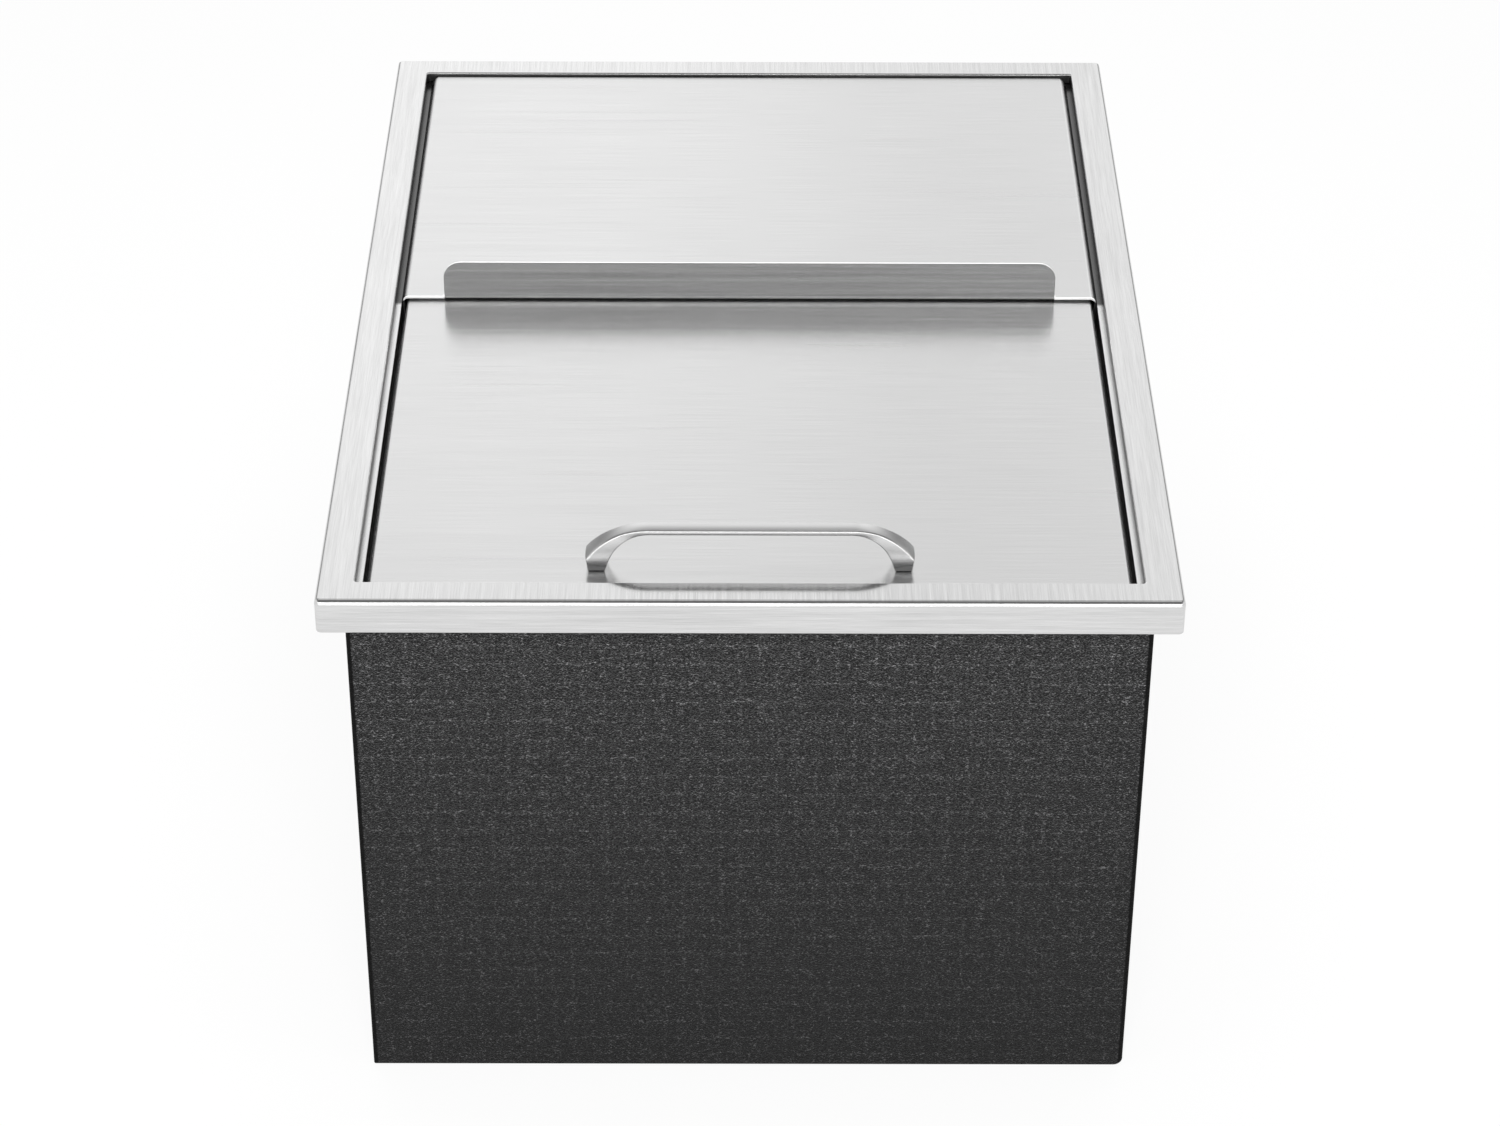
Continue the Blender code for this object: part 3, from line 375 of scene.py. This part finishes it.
outside = ledge_width + tub_bend + tub_flange_tuck
rings = [corner_ring(
    tub_x + outside, tub_y + outside, tub_flange_tuck, tub_flange_top, 0, tub_steps)]
for step in range(8):
    angle = math.radians(90 * step / 8)
    out = tub_bend * (1 - math.sin(angle))
    rings.append(corner_ring(
        tub_x + out, tub_y + out, tub_corner + out,
        tub_flange_top - tub_bend * (1 - math.cos(angle)), 0, tub_steps))
for inset, height in bend_path([
        (0, tub_flange_top - tub_bend, 0), (tub_taper, tub_floor, tub_floor_bend),
        (tub_taper + 2 * tub_floor_bend, tub_floor, 0)], 10):
    rings.append(corner_ring(
        tub_x - inset, tub_y - inset, tub_corner - inset / 2, height, 0, tub_steps))
count = len(rings[0])
seat_path = bend_path([
    (seat_radius + tub_floor_bend, tub_floor - tub_fall / 2, 0),
    (seat_radius, tub_floor - tub_fall, seat_bend), (seat_radius, seat_top, seat_bend),
    (seat_hole, seat_top, 0)], 6)
for radius, height in seat_path[1:]:
    ring = []
    for i in range(count):
        angle = math.radians(360 * (i + 0.5) / count - 90)
        ring.append(Vector((radius * math.cos(angle), radius * math.sin(angle), height)))
    rings.append(ring)
bm = bmesh.new()
join_rings(bm, rings)
bmesh.ops.triangulate(bm, faces=bm.faces, quad_method="FIXED")
tub = metal_piece("tub_shell", bm, tub_sheet)
lay_grain(tub, 1, 0, 1)
tub_steel = brushed_steel("tub satin stainless", 0.72, 0.40, 0.040, 0.0009, 0.12, 0.35, 0.10)
tub_steel.node_tree.nodes["Principled BSDF"].inputs["Metallic"].default_value = 0.72
fit_piece(tub, tub_steel, "bin", "tub_stainless", "ice_tub")

# Front cover
# A shallow pan of 1.0 mm stainless turned upside down, brushed from side to side. Its folded
# sides stand on the ledge of the tracks and slide back under the rear cover.
cover_sheet = 0.0010
cover_bend = 0.0022
cover_end_bend = 0.0009
end_share = cover_end_bend / cover_bend
cover_corner = 0.0034
cover_edge = 0.00015
low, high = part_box("front_cover_panel")
middle = (low.y + high.y) / 2
bm = bmesh.new()
rings = [
    corner_ring(high.x - inset, high.y - middle - inset * end_share, cover_corner - inset, height,
                middle)
    for inset, height in bend_path([
        (0, low.z, 0), (0, high.z, cover_bend), (cover_bend, high.z, 0)], 10)[:-1]]
rows = join_rings(bm, rings)
bm.faces.new(rows[-1])
front_cover = metal_piece("front_cover_pan", bm, cover_sheet, cover_edge)
lay_grain(front_cover, 0, 0, 2)
cover_steel = brushed_steel("cover brushed stainless", 0.91, 0.24, 0.060, 0.0006, 0.17, 0.70, 0.12)
fit_piece(front_cover, cover_steel, "front_cover", "brushed_stainless", "front_cover_panel")

# Rear cover
# A 1.0 mm stainless sheet with hems down its sides and back, and a finger lip bent up along the
# middle of its front between two relief notches. The rest of its front edge is doubled under, and
# the doubling follows the side bends down. It sits loose and lifts out by the lip.
low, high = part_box("rear_cover_panel")
lip_top = high.z
lip_face = low.y
rear_cover_drop = 0.0020
rear_cover_top = rim_top - rear_cover_drop
rear_cover_edge = 0.00035
lip_width = 0.3566
lip_half = lip_width / 2
lip_corner = 0.0104
lip_bend = 0.0010
lip_relief = 0.0006
side_bend = 0.0036
side_end_share = cover_end_bend / side_bend
corner_share = 0.85
hem_foot = ledge_top + fit_gap
hem_shoulder = shoulder_top + fit_gap
hem_end_gap = 0.0020
hem_end = web_y - hem_end_gap


def fine_noise(tree, scale, detail):
    """A noise that's fixed to the piece."""
    return add_node(tree, "TexNoise", {
        "Vector": add_node(tree, "TexCoord", {}).outputs["Object"], "Scale": scale,
        "Detail": detail}).outputs["Fac"]


def vary(tree, noise, socket, least, most):
    """Lets a noise move a socket between two values."""
    tree.links.new(add_node(tree, "MapRange", {
        "Value": noise, "To Min": least, "To Max": most}).outputs[0], socket)


# A near-white, barely metallic finish for the sheet's cut edges: a painted highlight along them.
edge_highlight, tree, shader = new_finish("cut edge painted highlight")
shader.inputs["Metallic"].default_value = 0.1
frost = fine_noise(tree, 700.0, 2.0)
vary(tree, frost, shader.inputs["Base Color"], 0.92, 1.0)
vary(tree, frost, shader.inputs["Roughness"], 0.34, 0.50)


def three_sided_row(inset, height):
    """A row up the right side, round the back and down the left side of the rear cover."""
    half, back = high.x - inset, high.y - inset * side_end_share
    radius = cover_corner - inset * corner_share
    right = [Vector((half, lip_face, height)), Vector((half, hem_end, height))]
    for step in range(9):
        angle = math.radians(90 * step / 8)
        right.append(Vector((
            half - radius + radius * math.cos(angle), back - radius + radius * math.sin(angle),
            height)))
    return right + [Vector((-point.x, point.y, point.z)) for point in reversed(right)]


bm = bmesh.new()
rows = join_rings(bm, [three_sided_row(inset, z) for inset, z in bend_path([
    (0, hem_shoulder, 0), (0, rear_cover_top, side_bend), (side_bend, rear_cover_top, 0)],
    10)[:-1]], closed=False)
for first, second in ((rows[0][0], rows[0][1]), (rows[0][-2], rows[0][-1])):
    feet = [bm.verts.new((v.co.x, v.co.y, hem_foot)) for v in (first, second)]
    bm.faces.new((feet[0], feet[1], second, first))
bend_start = lip_face + cover_sheet + lip_bend
notch = [
    (lip_half, bend_start), (lip_half, bend_start + lip_relief),
    (lip_half + lip_relief, bend_start + lip_relief), (lip_half + lip_relief, lip_face)]
right = [bm.verts.new((x, y, rear_cover_top)) for x, y in notch]
left = [bm.verts.new((-x, y, rear_cover_top)) for x, y in notch]
bm.faces.new(rows[-1] + left[::-1] + right)
edge = (right[0], left[0])
for step in range(1, 9):
    angle = math.radians(90 * step / 8)
    y = bend_start - lip_bend * math.sin(angle)
    z = rear_cover_top + lip_bend * (1 - math.cos(angle))
    following = (bm.verts.new((lip_half, y, z)), bm.verts.new((-lip_half, y, z)))
    bm.faces.new((edge[0], edge[1], following[1], following[0]))
    edge = following
foot = rear_cover_top + lip_bend
outline = bend_path([
    (-lip_half, foot, 0), (-lip_half, lip_top, lip_corner), (lip_half, lip_top, lip_corner),
    (lip_half, foot, 0)], 16)[1:-1]
bm.faces.new([edge[0], edge[1]] + [
    bm.verts.new((x, lip_face + cover_sheet, z)) for x, z in outline])
rear_cover = metal_piece("rear_cover_sheet", bm, cover_sheet, rear_cover_edge, 3, edge_highlight)
# Only the edges near the top keep the painted highlight; lower ones go back to steel.
highlight_depth = 0.0018
for face in rear_cover.data.polygons:
    if face.center.z < rear_cover_top - highlight_depth:
        face.material_index = 0
lay_grain(rear_cover, 0, 0, 2)
fit_piece(rear_cover, cover_steel, "rear_cover", "brushed_stainless", "rear_cover_panel")
hem_sink = 0.0001
hem_top = rear_cover_top - hem_sink
hem_depth = 0.0042
hem_crease = 0.0002
hem_wrap = 60
right_stations = [(lip_half, 0)]
for step in range(6):
    angle = math.radians(hem_wrap * step / 5)
    right_stations.append((
        high.x - side_bend + side_bend * math.sin(angle), side_bend * (1 - math.cos(angle))))
left_stations = [(-x, drop) for x, drop in reversed(right_stations)]
# The side hems wear the near-white edge finish, a painted highlight; the middle hem is plain steel.
for name, stations, hem_face, height, nose, finish in (
        ("rear_cover_hem_left", left_stations, lip_face - 0.0007, 0.0014, 0.0004, edge_highlight),
        ("rear_cover_hem_middle", [(-lip_half, 0), (lip_half, 0)], lip_face - 0.0001, 0.0013,
         0.0003, cover_steel),
        ("rear_cover_hem_right", right_stations, lip_face - 0.0007, 0.0014, 0.0004, edge_highlight)):
    hem_section = bend_path([
        (hem_face + hem_depth, hem_top, 0), (hem_face, hem_top, hem_crease),
        (hem_face, hem_top - height, nose), (hem_face + hem_depth, hem_top - height, 0)])
    bm = bmesh.new()
    rows = join_rings(bm, [
        [Vector((x, y, z - drop)) for y, z in hem_section] for x, drop in stations])
    bm.faces.new(rows[0][::-1])
    bm.faces.new(rows[-1])
    bmesh.ops.recalc_face_normals(bm, faces=bm.faces)
    hem = metal_piece(name, bm)
    lay_grain(hem, 0, 0, 2)
    hem.data.materials.append(finish)
    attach(hem, "rear_cover")

# Bow handle
# A cast bow whose straight grip is slightly crowned and sweeps down into two solid feet. The feet
# spread towards the cover and tuck in above their soles. It is satin finished and drawn down onto
# the front cover by a screw in each foot.
low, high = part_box("cover_handle")
handle_middle = (low.y + high.y) / 2
handle_height = high.z - low.z
half_width = (high.y - low.y) / 2
handle_half = high.x
bow_reach = 0.03275
bar = 0.0032
foot_width = 0.01035
foot_pinch = 0.0011
outer_radius = 0.0400
inner_radius = 0.0230
inner_start = 0.0010
inner_sweep = math.radians(72)
crown = 0.00035
brow = 0.0013
brow_slope = 0.0004
foot_spread = 0.0031
spread_height = 0.0200
sole_height = 0.0032
sole_tuck = 0.0012
sole_turn = 0.9
handle_edge = 0.0005


def bow_reach_at(height):
    """Half the bow's width, which spreads towards the feet and tucks in above their soles."""
    fall = (spread_height - height) / (spread_height - sole_height)
    spread = foot_spread * min(max(fall, 0), 1)
    under = max(1 - height / sole_height, 0) * sole_turn
    return half_width + spread - sole_tuck * (1 - math.sqrt(1 - under * under))


straight = handle_half - bow_reach
outer_sweep = math.asin(bow_reach / outer_radius)
half_bow = []
for step in range(25):
    outer_turn, inner_turn = outer_sweep * step / 24, inner_sweep * step / 24
    half_bow.append((
        Vector((straight + outer_radius * math.sin(outer_turn),
                handle_height - outer_radius * (1 - math.cos(outer_turn)))),
        Vector((straight - inner_start + inner_radius * math.sin(inner_turn),
                handle_height - bar - inner_radius * (1 - math.cos(inner_turn))))))
foot_outer, foot_inner = half_bow[-1]
for step in range(1, 9):
    half_bow.append((
        foot_outer.lerp(Vector((handle_half - foot_pinch, 0)), step / 8),
        foot_inner.lerp(Vector((handle_half - foot_width, 0)), step / 8)))
other_half = [(Vector((-outer.x, outer.y)), Vector((-inner.x, inner.y)))
              for outer, inner in reversed(half_bow)]
rings = []
for outer, inner in other_half + half_bow:
    inward = (inner - outer).normalized()
    slope = brow_slope * max(outer.y / handle_height, 0) ** 2
    side = [(outer + inward * crown * share * share,
             share * (bow_reach_at(outer.y) - slope)) for share in (0.25, 0.5, 0.75, 1.0)]
    lower = outer + inward * (crown + brow)
    side += [(lower, bow_reach_at(lower.y)), (inner, bow_reach_at(inner.y))]
    front = [Vector((point.x, handle_middle - reach, low.z + point.y)) for point, reach in side]
    back = [Vector((point.x, handle_middle + reach, low.z + point.y)) for point, reach in side]
    rings.append(front[::-1] + [Vector((outer.x, handle_middle, low.z + outer.y))] + back)
bm = bmesh.new()
rows = join_rings(bm, rings)
bm.faces.new(rows[0][::-1])
bm.faces.new(rows[-1])
bmesh.ops.recalc_face_normals(bm, faces=bm.faces)
handle = metal_piece("bow_handle", bm, 0, handle_edge, 4)
lay_grain(handle, 0, 0, 2)
handle_steel = brushed_steel("handle satin steel", 0.78, 0.24, 0.020, 0.0005, 0.08, 0.30, 0.10)
fit_piece(handle, handle_steel, "front_cover", "handle_steel", "cover_handle")

# Casing
# Black coated sheet embossed with a fine leather grain, darkened by painted shade at the upright
# bends.
# One 0.8 mm piece makes the left side, the bottom and the right side, and a panel with folded edges
# closes the front and the back.


def paint(node, material):
    """Gives a CAD node that stays in sight its finish."""
    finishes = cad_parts[node].data.materials
    for index in range(len(finishes)):
        finishes[index] = material


embossing, given, gives = new_effect(
    "leather embossing",
    [("Place", "Vector"), ("Tone", "Color"), ("Roughness", "Float"), ("Pebble Size", "Float"),
     ("Wrinkle Size", "Float"), ("Repeat", "Float"), ("Glint Height", "Float")],
    [("Color", "Color"), ("Roughness", "Float"), ("Height", "Float")])


def in_sizes_of(size, stretch):
    """The given place counted in sizes of a feature, which is drawn out by the stretch."""
    flat = add_node(embossing, "VectorMath", {0: given["Place"], 1: stretch}, operation="MULTIPLY")
    return add_node(embossing, "VectorMath", {
        0: flat.outputs[0], "Scale": maths(embossing, "DIVIDE", 1.0, size)},
        operation="SCALE").outputs[0]


def soft_step(value, start, end):
    return add_node(embossing, "MapRange", {
        "Value": value, "From Min": start, "From Max": end},
        interpolation_type="SMOOTHSTEP").outputs[0]


# Besides grain, the colour carries painted light: glints, lit ridges and seam lines are painted
# highlights.
plain_light, pebble_light, wrinkle_light, glint_light = 0.88, 0.6, 11.0, 19.0
shadow_depth, seam_strength = 0.88, 0.7
patch_least, patch_swing = 0.82, 0.12
foot_light, top_light = 0.34, 0.66
pebble = add_node(embossing, "TexVoronoi", {
    "Vector": in_sizes_of(given["Pebble Size"], (0.8, 1.0, 1.1)), "Scale": 1.0}, feature="F1")
pebble = soft_step(pebble.outputs["Distance"], 0.75, 0.10)
crinkles = in_sizes_of(given["Wrinkle Size"], (0.75, 0.9, 1.0))
# shaded is the crinkle pattern moved up a little; its lines give painted shade under each ridge.
shaded = add_node(embossing, "VectorMath", {0: crinkles, 1: (0.0, 0.0, 0.22)}, operation="ADD")
wrinkle, shadow = [soft_step(maths(embossing, "ABSOLUTE", maths(embossing, "SUBTRACT", add_node(
    embossing, "TexNoise", {"Vector": way, "Scale": 1.0, "Detail": 2.0}).outputs["Fac"], 0.5)),
    0.050, 0.010) for way in (crinkles, shaded.outputs[0])]
wander = add_node(embossing, "TexNoise", {
    "Vector": in_sizes_of(given["Repeat"], (1.0, 1.0, 1.0)), "Scale": 1.8, "Detail": 4.0,
    "Roughness": 0.65})
seam = add_node(embossing, "SeparateXYZ", {0: add_node(embossing, "VectorMath", {
    0: in_sizes_of(given["Repeat"], (1.2, 1.2, 1.0)), 1: add_node(embossing, "VectorMath", {
        0: wander.outputs["Color"], "Scale": 0.70}, operation="SCALE").outputs[0]},
    operation="ADD").outputs[0]}).outputs
seams = [soft_step(maths(embossing, "PINGPONG", way, 0.5), 0.20, 0.0) for way in (
    seam[2], maths(embossing, "ADD", seam[0], seam[1]))]
patch = maths(embossing, "MAXIMUM", seams[0], maths(embossing, "MULTIPLY", seams[1], 0.95))
speck = add_node(embossing, "TexNoise", {
    "Vector": in_sizes_of(given["Pebble Size"], (0.7, 1.0, 1.3)), "Scale": 0.9, "Detail": 1.0})
glint = soft_step(speck.outputs["Fac"], 0.58, 0.72)
seam_line = maths(embossing, "MULTIPLY", soft_step(patch, 0.80, 0.96), soft_step(
    speck.outputs["Fac"], 0.45, 0.62))
wrinkle = maths(embossing, "MAXIMUM", wrinkle, maths(
    embossing, "MULTIPLY", seam_line, seam_strength))
patch = maths(embossing, "MULTIPLY_ADD", patch, patch_swing, patch_least)
level = add_node(embossing, "SeparateXYZ", {0: given["Place"]}).outputs[2]
# lit makes the painted glints and ridges stronger towards the top of the casing: painted light.
lit = maths(embossing, "DIVIDE", level, given["Glint Height"])
lit = maths(embossing, "MULTIPLY_ADD", maths(embossing, "POWER", lit, 1.5), top_light, foot_light)
ridge = maths(embossing, "MULTIPLY", wrinkle, patch)
height = maths(embossing, "MULTIPLY_ADD", ridge, 0.7, maths(embossing, "MULTIPLY", pebble, 0.5))
embossing.links.new(height, gives["Height"])
shine = maths(embossing, "MULTIPLY_ADD", glint, glint_light, maths(
    embossing, "MULTIPLY", wrinkle, wrinkle_light))
shine = maths(embossing, "MULTIPLY", lit, maths(embossing, "MULTIPLY", patch, shine))
shine = maths(embossing, "ADD", shine, maths(
    embossing, "MULTIPLY_ADD", pebble, pebble_light, plain_light))
shine = maths(embossing, "MULTIPLY", shine, maths(
    embossing, "MULTIPLY_ADD", shadow, -shadow_depth, 1.0))
embossing.links.new(add_node(embossing, "VectorMath", {
    0: given["Tone"], "Scale": shine}, operation="SCALE").outputs[0], gives["Color"])
embossing.links.new(maths(embossing, "MULTIPLY_ADD", ridge, -0.12, given["Roughness"]),
                    gives["Roughness"])

casing_black, tree, shader = new_finish("black embossed sheet")
emboss = add_node(tree, "Group", {
    "Place": add_node(tree, "TexCoord", {}).outputs["Object"],
    "Tone": (0.0127, 0.0127, 0.0129, 1), "Roughness": 0.50, "Pebble Size": 0.0007,
    "Wrinkle Size": 0.0014, "Repeat": 0.0124, "Glint Height": 0.324}, node_tree=embossing)
shader.inputs["Specular IOR Level"].default_value = 0.12
# Near the upright bends the colour falls to a twentieth: painted shade on the rounded corners.
bend_band = 0.0030
place = add_node(tree, "SeparateXYZ", {0: add_node(tree, "TexCoord", {}).outputs["Object"]}).outputs
near_side, near_end = [add_node(tree, "MapRange", {
    "Value": maths(tree, "ABSOLUTE", way), "From Min": reach - bend_band,
    "From Max": reach - bend_band * 0.7}, interpolation_type="SMOOTHSTEP").outputs[0]
    for way, reach in zip(place[:2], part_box("back_panel")[1][:2])]
painted_bend_shade = maths(tree, "MULTIPLY", near_side, near_end)
tree.links.new(add_node(tree, "VectorMath", {
    0: emboss.outputs["Color"], "Scale": maths(tree, "MULTIPLY_ADD", painted_bend_shade, -0.95, 1.0)},
    operation="SCALE").outputs[0], shader.inputs["Base Color"])
tree.links.new(emboss.outputs["Roughness"], shader.inputs["Roughness"])
tree.links.new(add_node(tree, "Bump", {
    "Strength": 1.0, "Distance": 0.0003, "Height": emboss.outputs["Height"]}).outputs[0],
    shader.inputs["Normal"])

casing_sheet = 0.0008
soft_corner = 0.0048
seam_corner = 0.0009
casing_bend = 0.0012
casing_edge = 0.00012
panel_flange = 0.0150
low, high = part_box("front_panel")
casing_half, casing_top = high.x, high.z
outline = bend_path([
    (casing_half, casing_top, 0), (casing_half, 0, soft_corner),
    (-casing_half, 0, seam_corner), (-casing_half, casing_top, 0)], 10)
for node, side in (("front_panel", -1), ("back_panel", 1)):
    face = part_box(node)[0].y if side < 0 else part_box(node)[1].y
    bm = bmesh.new()
    rows = []
    for inset, back in bend_path([
            (0, panel_flange, 0), (0, 0, casing_bend), (casing_bend, 0, 0)], 8)[:-1]:
        rows.append([Vector((
            x * (1 - inset / casing_half), face - side * back,
            casing_top - (casing_top - z) * (1 - inset / casing_top))) for x, z in outline])
    made = join_rings(bm, rows, closed=False)
    plate = bm.faces.new(made[-1])
    bm.normal_update()
    if plate.normal.y * side < 0:
        bmesh.ops.reverse_faces(bm, faces=bm.faces)
    panel = metal_piece(node + "_sheet", bm, casing_sheet, casing_edge)
    fit_piece(panel, casing_black, "bin", "black_embossed_sheet", node)
paint("casing_shell", casing_black)

# Foam
# Rigid cream foam blown between the casing and the tub, which it bonds together.
foam, tree, shader = new_finish("cream rigid foam")
place = add_node(tree, "TexCoord", {}).outputs["Object"]
pores = add_node(tree, "TexVoronoi", {"Vector": place, "Scale": 900.0})
clouds = add_node(tree, "TexNoise", {"Vector": place, "Scale": 40.0, "Detail": 3.0})
colour = add_node(tree, "MapRange", {
    "Vector": clouds.outputs["Color"], 9: (0.62, 0.55, 0.38), 10: (0.78, 0.72, 0.55)},
    data_type="FLOAT_VECTOR")
tree.links.new(colour.outputs["Vector"], shader.inputs["Base Color"])
shader.inputs["Roughness"].default_value = 0.9
tree.links.new(add_node(tree, "Bump", {
    "Strength": 0.6, "Distance": 0.0004, "Height": pores.outputs["Distance"]}).outputs[0],
    shader.inputs["Normal"])
paint("foam_insulation", foam)

# Small black parts
# Coated rivets, a moulded sleeve, washer and nut, and a rubber seal and stopper. Each is plain
# black with a faint mottle, and the rubber is the dullest.


def plain_black(name, tone, roughness):
    material, tree, shader = new_finish(name)
    mottle = fine_noise(tree, 600.0, 3.0)
    vary(tree, mottle, shader.inputs["Base Color"], 0.8 * tone, 1.2 * tone)
    vary(tree, mottle, shader.inputs["Roughness"], roughness - 0.06, roughness + 0.06)
    tree.links.new(add_node(tree, "Bump", {
        "Strength": 0.2, "Distance": 0.0001, "Height": mottle}).outputs[0],
        shader.inputs["Normal"])
    return material


rivet_black = plain_black("black rivet", 0.020, 0.42)
moulded_black = plain_black("moulded black plastic", 0.022, 0.48)
rubber_black = plain_black("black rubber", 0.018, 0.75)
for number in range(1, 7):
    paint("back_rivet_%d" % number, rivet_black)
for node in ("drain_well_sleeve", "drain_washer", "drain_lock_nut"):
    paint(node, moulded_black)
for node in ("drain_seal", "drain_stopper"):
    paint(node, rubber_black)

# Polished and plated metal
# The drain fitting and the stopper's ring are polished stainless. The handle's screws and
# washers are zinc plated.


def plain_metal(name, tone, roughness):
    material, tree, shader = new_finish(name)
    shader.inputs["Metallic"].default_value = 1.0
    haze = fine_noise(tree, 300.0, 3.0)
    vary(tree, haze, shader.inputs["Base Color"], 0.92 * tone, 1.08 * tone)
    vary(tree, haze, shader.inputs["Roughness"], 0.7 * roughness, 1.3 * roughness)
    return material


polished = plain_metal("polished steel", 0.72, 0.14)
plated = plain_metal("zinc plate", 0.55, 0.34)
for node in ("drain_body", "drain_strainer", "stopper_ring"):
    paint(node, polished)
for node in ("handle_screw_left", "handle_screw_right", "handle_washer_left",
             "handle_washer_right"):
    paint(node, plated)

# Studio
# A pale floor that keeps the shadow, and a room that the metal reflects: a white wall behind the
# bin, darker low at its sides, a bright low strip in front, greyer sides and a ceiling towards the
# back. Two softboxes light what isn't polished.
floor_reach = 12.0
floor_gap = 0.0002
floor_mesh = bpy.data.meshes.new("studio_floor")
bm = bmesh.new()
bmesh.ops.create_grid(bm, x_segments=8, y_segments=8, size=floor_reach)
bm.to_mesh(floor_mesh)
bm.free()
floor = bpy.data.objects.new("studio_floor", floor_mesh)
floor.location.z = -floor_gap
bpy.context.scene.collection.objects.link(floor)
floor_white, tree, shader = new_finish("studio floor")
shader.inputs["Base Color"].default_value = (0.90, 0.90, 0.90, 1)
shader.inputs["Roughness"].default_value = 0.9
shader.inputs["Specular IOR Level"].default_value = 0.1
glow_share, least_glow, seen_glow = 0.9, 0.8, 0.2
ray = add_node(tree, "LightPath", {}).outputs
seen = maths(tree, "MAXIMUM", ray["Is Camera Ray"], ray["Is Glossy Ray"])
seen = maths(tree, "MAXIMUM", seen, ray["Is Transmission Ray"])
glow = add_node(tree, "Emission", {
    "Color": (1, 1, 1, 1),
    "Strength": maths(tree, "MULTIPLY_ADD", ray["Is Camera Ray"], seen_glow, least_glow)})
blend = add_node(tree, "MixShader", {
    0: maths(tree, "MULTIPLY", seen, glow_share), 1: shader.outputs[0], 2: glow.outputs[0]})
tree.links.new(blend.outputs[0], tree.nodes["Material Output"].inputs["Surface"])
floor_mesh.materials.append(floor_white)

world = bpy.data.worlds.new("studio room")
bpy.context.scene.world = world
world.use_nodes = True
tree = world.node_tree
way = add_node(tree, "SeparateXYZ", {
    0: add_node(tree, "TexCoord", {}).outputs["Generated"]}).outputs


def ramp(value, start, end):
    return add_node(tree, "MapRange", {
        "Value": value, "From Min": start, "From Max": end},
        interpolation_type="SMOOTHSTEP").outputs[0]


dim_level, wall_level, side_level, ceiling_level, strip_level = 0.175, 0.87, 0.60, 0.50, 2.10
low_side_shade, middle_shade = 0.72, 0.20
wall = maths(tree, "MULTIPLY", ramp(way[1], 0.15, 0.55), ramp(way[2], 0.85, 0.50))
wall = maths(tree, "MULTIPLY", wall, ramp(maths(tree, "ABSOLUTE", way[0]), 0.80, 0.10))
low_side = maths(tree, "MULTIPLY", ramp(way[2], 0.42, 0.10),
                 ramp(maths(tree, "ABSOLUTE", way[0]), 0.20, 0.45))
wall = maths(tree, "MULTIPLY", wall, maths(
    tree, "MULTIPLY_ADD", low_side, -low_side_shade, 1.0))
shade = maths(tree, "MULTIPLY", ramp(way[0], -0.03, 0.06), ramp(way[0], 0.16, 0.08))
wall = maths(tree, "MULTIPLY", wall, maths(tree, "MULTIPLY_ADD", shade, -middle_shade, 1.0))
strip = maths(tree, "MULTIPLY", ramp(way[1], -0.5, -0.85), ramp(way[2], 0.28, 0.16))
sides = maths(tree, "MULTIPLY", ramp(maths(tree, "ABSOLUTE", way[0]), 0.55, 0.90),
              ramp(way[2], 0.85, 0.45))
ceiling = maths(tree, "MULTIPLY", ramp(way[2], 0.80, 0.92), ramp(way[1], -0.10, 0.20))
room = maths(tree, "MULTIPLY_ADD", wall, wall_level, dim_level)
room = maths(tree, "MULTIPLY_ADD", sides, side_level, room)
room = maths(tree, "MULTIPLY_ADD", ceiling, ceiling_level, room)
room = maths(tree, "MULTIPLY_ADD", strip, strip_level, room)
ray = add_node(tree, "LightPath", {}).outputs
seen = maths(tree, "MAXIMUM", room, ray["Is Camera Ray"])
tree.links.new(seen, tree.nodes["Background"].inputs["Color"])

aim_height = 0.15
for name, place, size, watts in (
        ("overhead_softbox", (0.0, 0.1, 2.2), 1.8, 32.0),
        ("front_softbox", (0.0, -2.2, 2.0), 1.0, 45.0)):
    lamp = bpy.data.lights.new(name, "AREA")
    lamp.shape = "SQUARE"
    lamp.size = size
    lamp.energy = watts
    light = bpy.data.objects.new(name, lamp)
    light.location = place
    aim = Vector((0, 0, aim_height)) - Vector(place)
    light.rotation_euler = aim.to_track_quat("-Z", "Y").to_euler()
    light.visible_camera = False
    light.visible_glossy = False
    bpy.context.scene.collection.objects.link(light)

# Camera
# It stands where the photograph was taken: 1.5 m up, 2 m in front, with a long lens.
camera_place = (-0.00613, -1.97718, 1.50182)
lens_length = 94.48
pitch, yaw, roll = math.radians(34.4307), math.radians(0.2045), math.radians(0.2431)
forward = Vector((
    math.sin(yaw) * math.cos(pitch), math.cos(yaw) * math.cos(pitch), -math.sin(pitch)))
across = Vector((math.cos(yaw), -math.sin(yaw), 0))
upward = across.cross(forward)
camera_x = across * math.cos(roll) + upward * math.sin(roll)
camera_y = upward * math.cos(roll) - across * math.sin(roll)
lens = bpy.data.cameras.new("photo_camera")
lens.lens = lens_length
lens.sensor_width = 36.0
lens.sensor_fit = "HORIZONTAL"
lens.clip_start = 0.05
lens.clip_end = 100.0
camera = bpy.data.objects.new("photo_camera", lens)
camera.matrix_world = Matrix.Translation(camera_place) @ Matrix(
    (camera_x, camera_y, -forward)).transposed().to_4x4()
bpy.context.scene.collection.objects.link(camera)
bpy.context.scene.camera = camera
bpy.context.scene.view_settings.view_transform = "Standard"
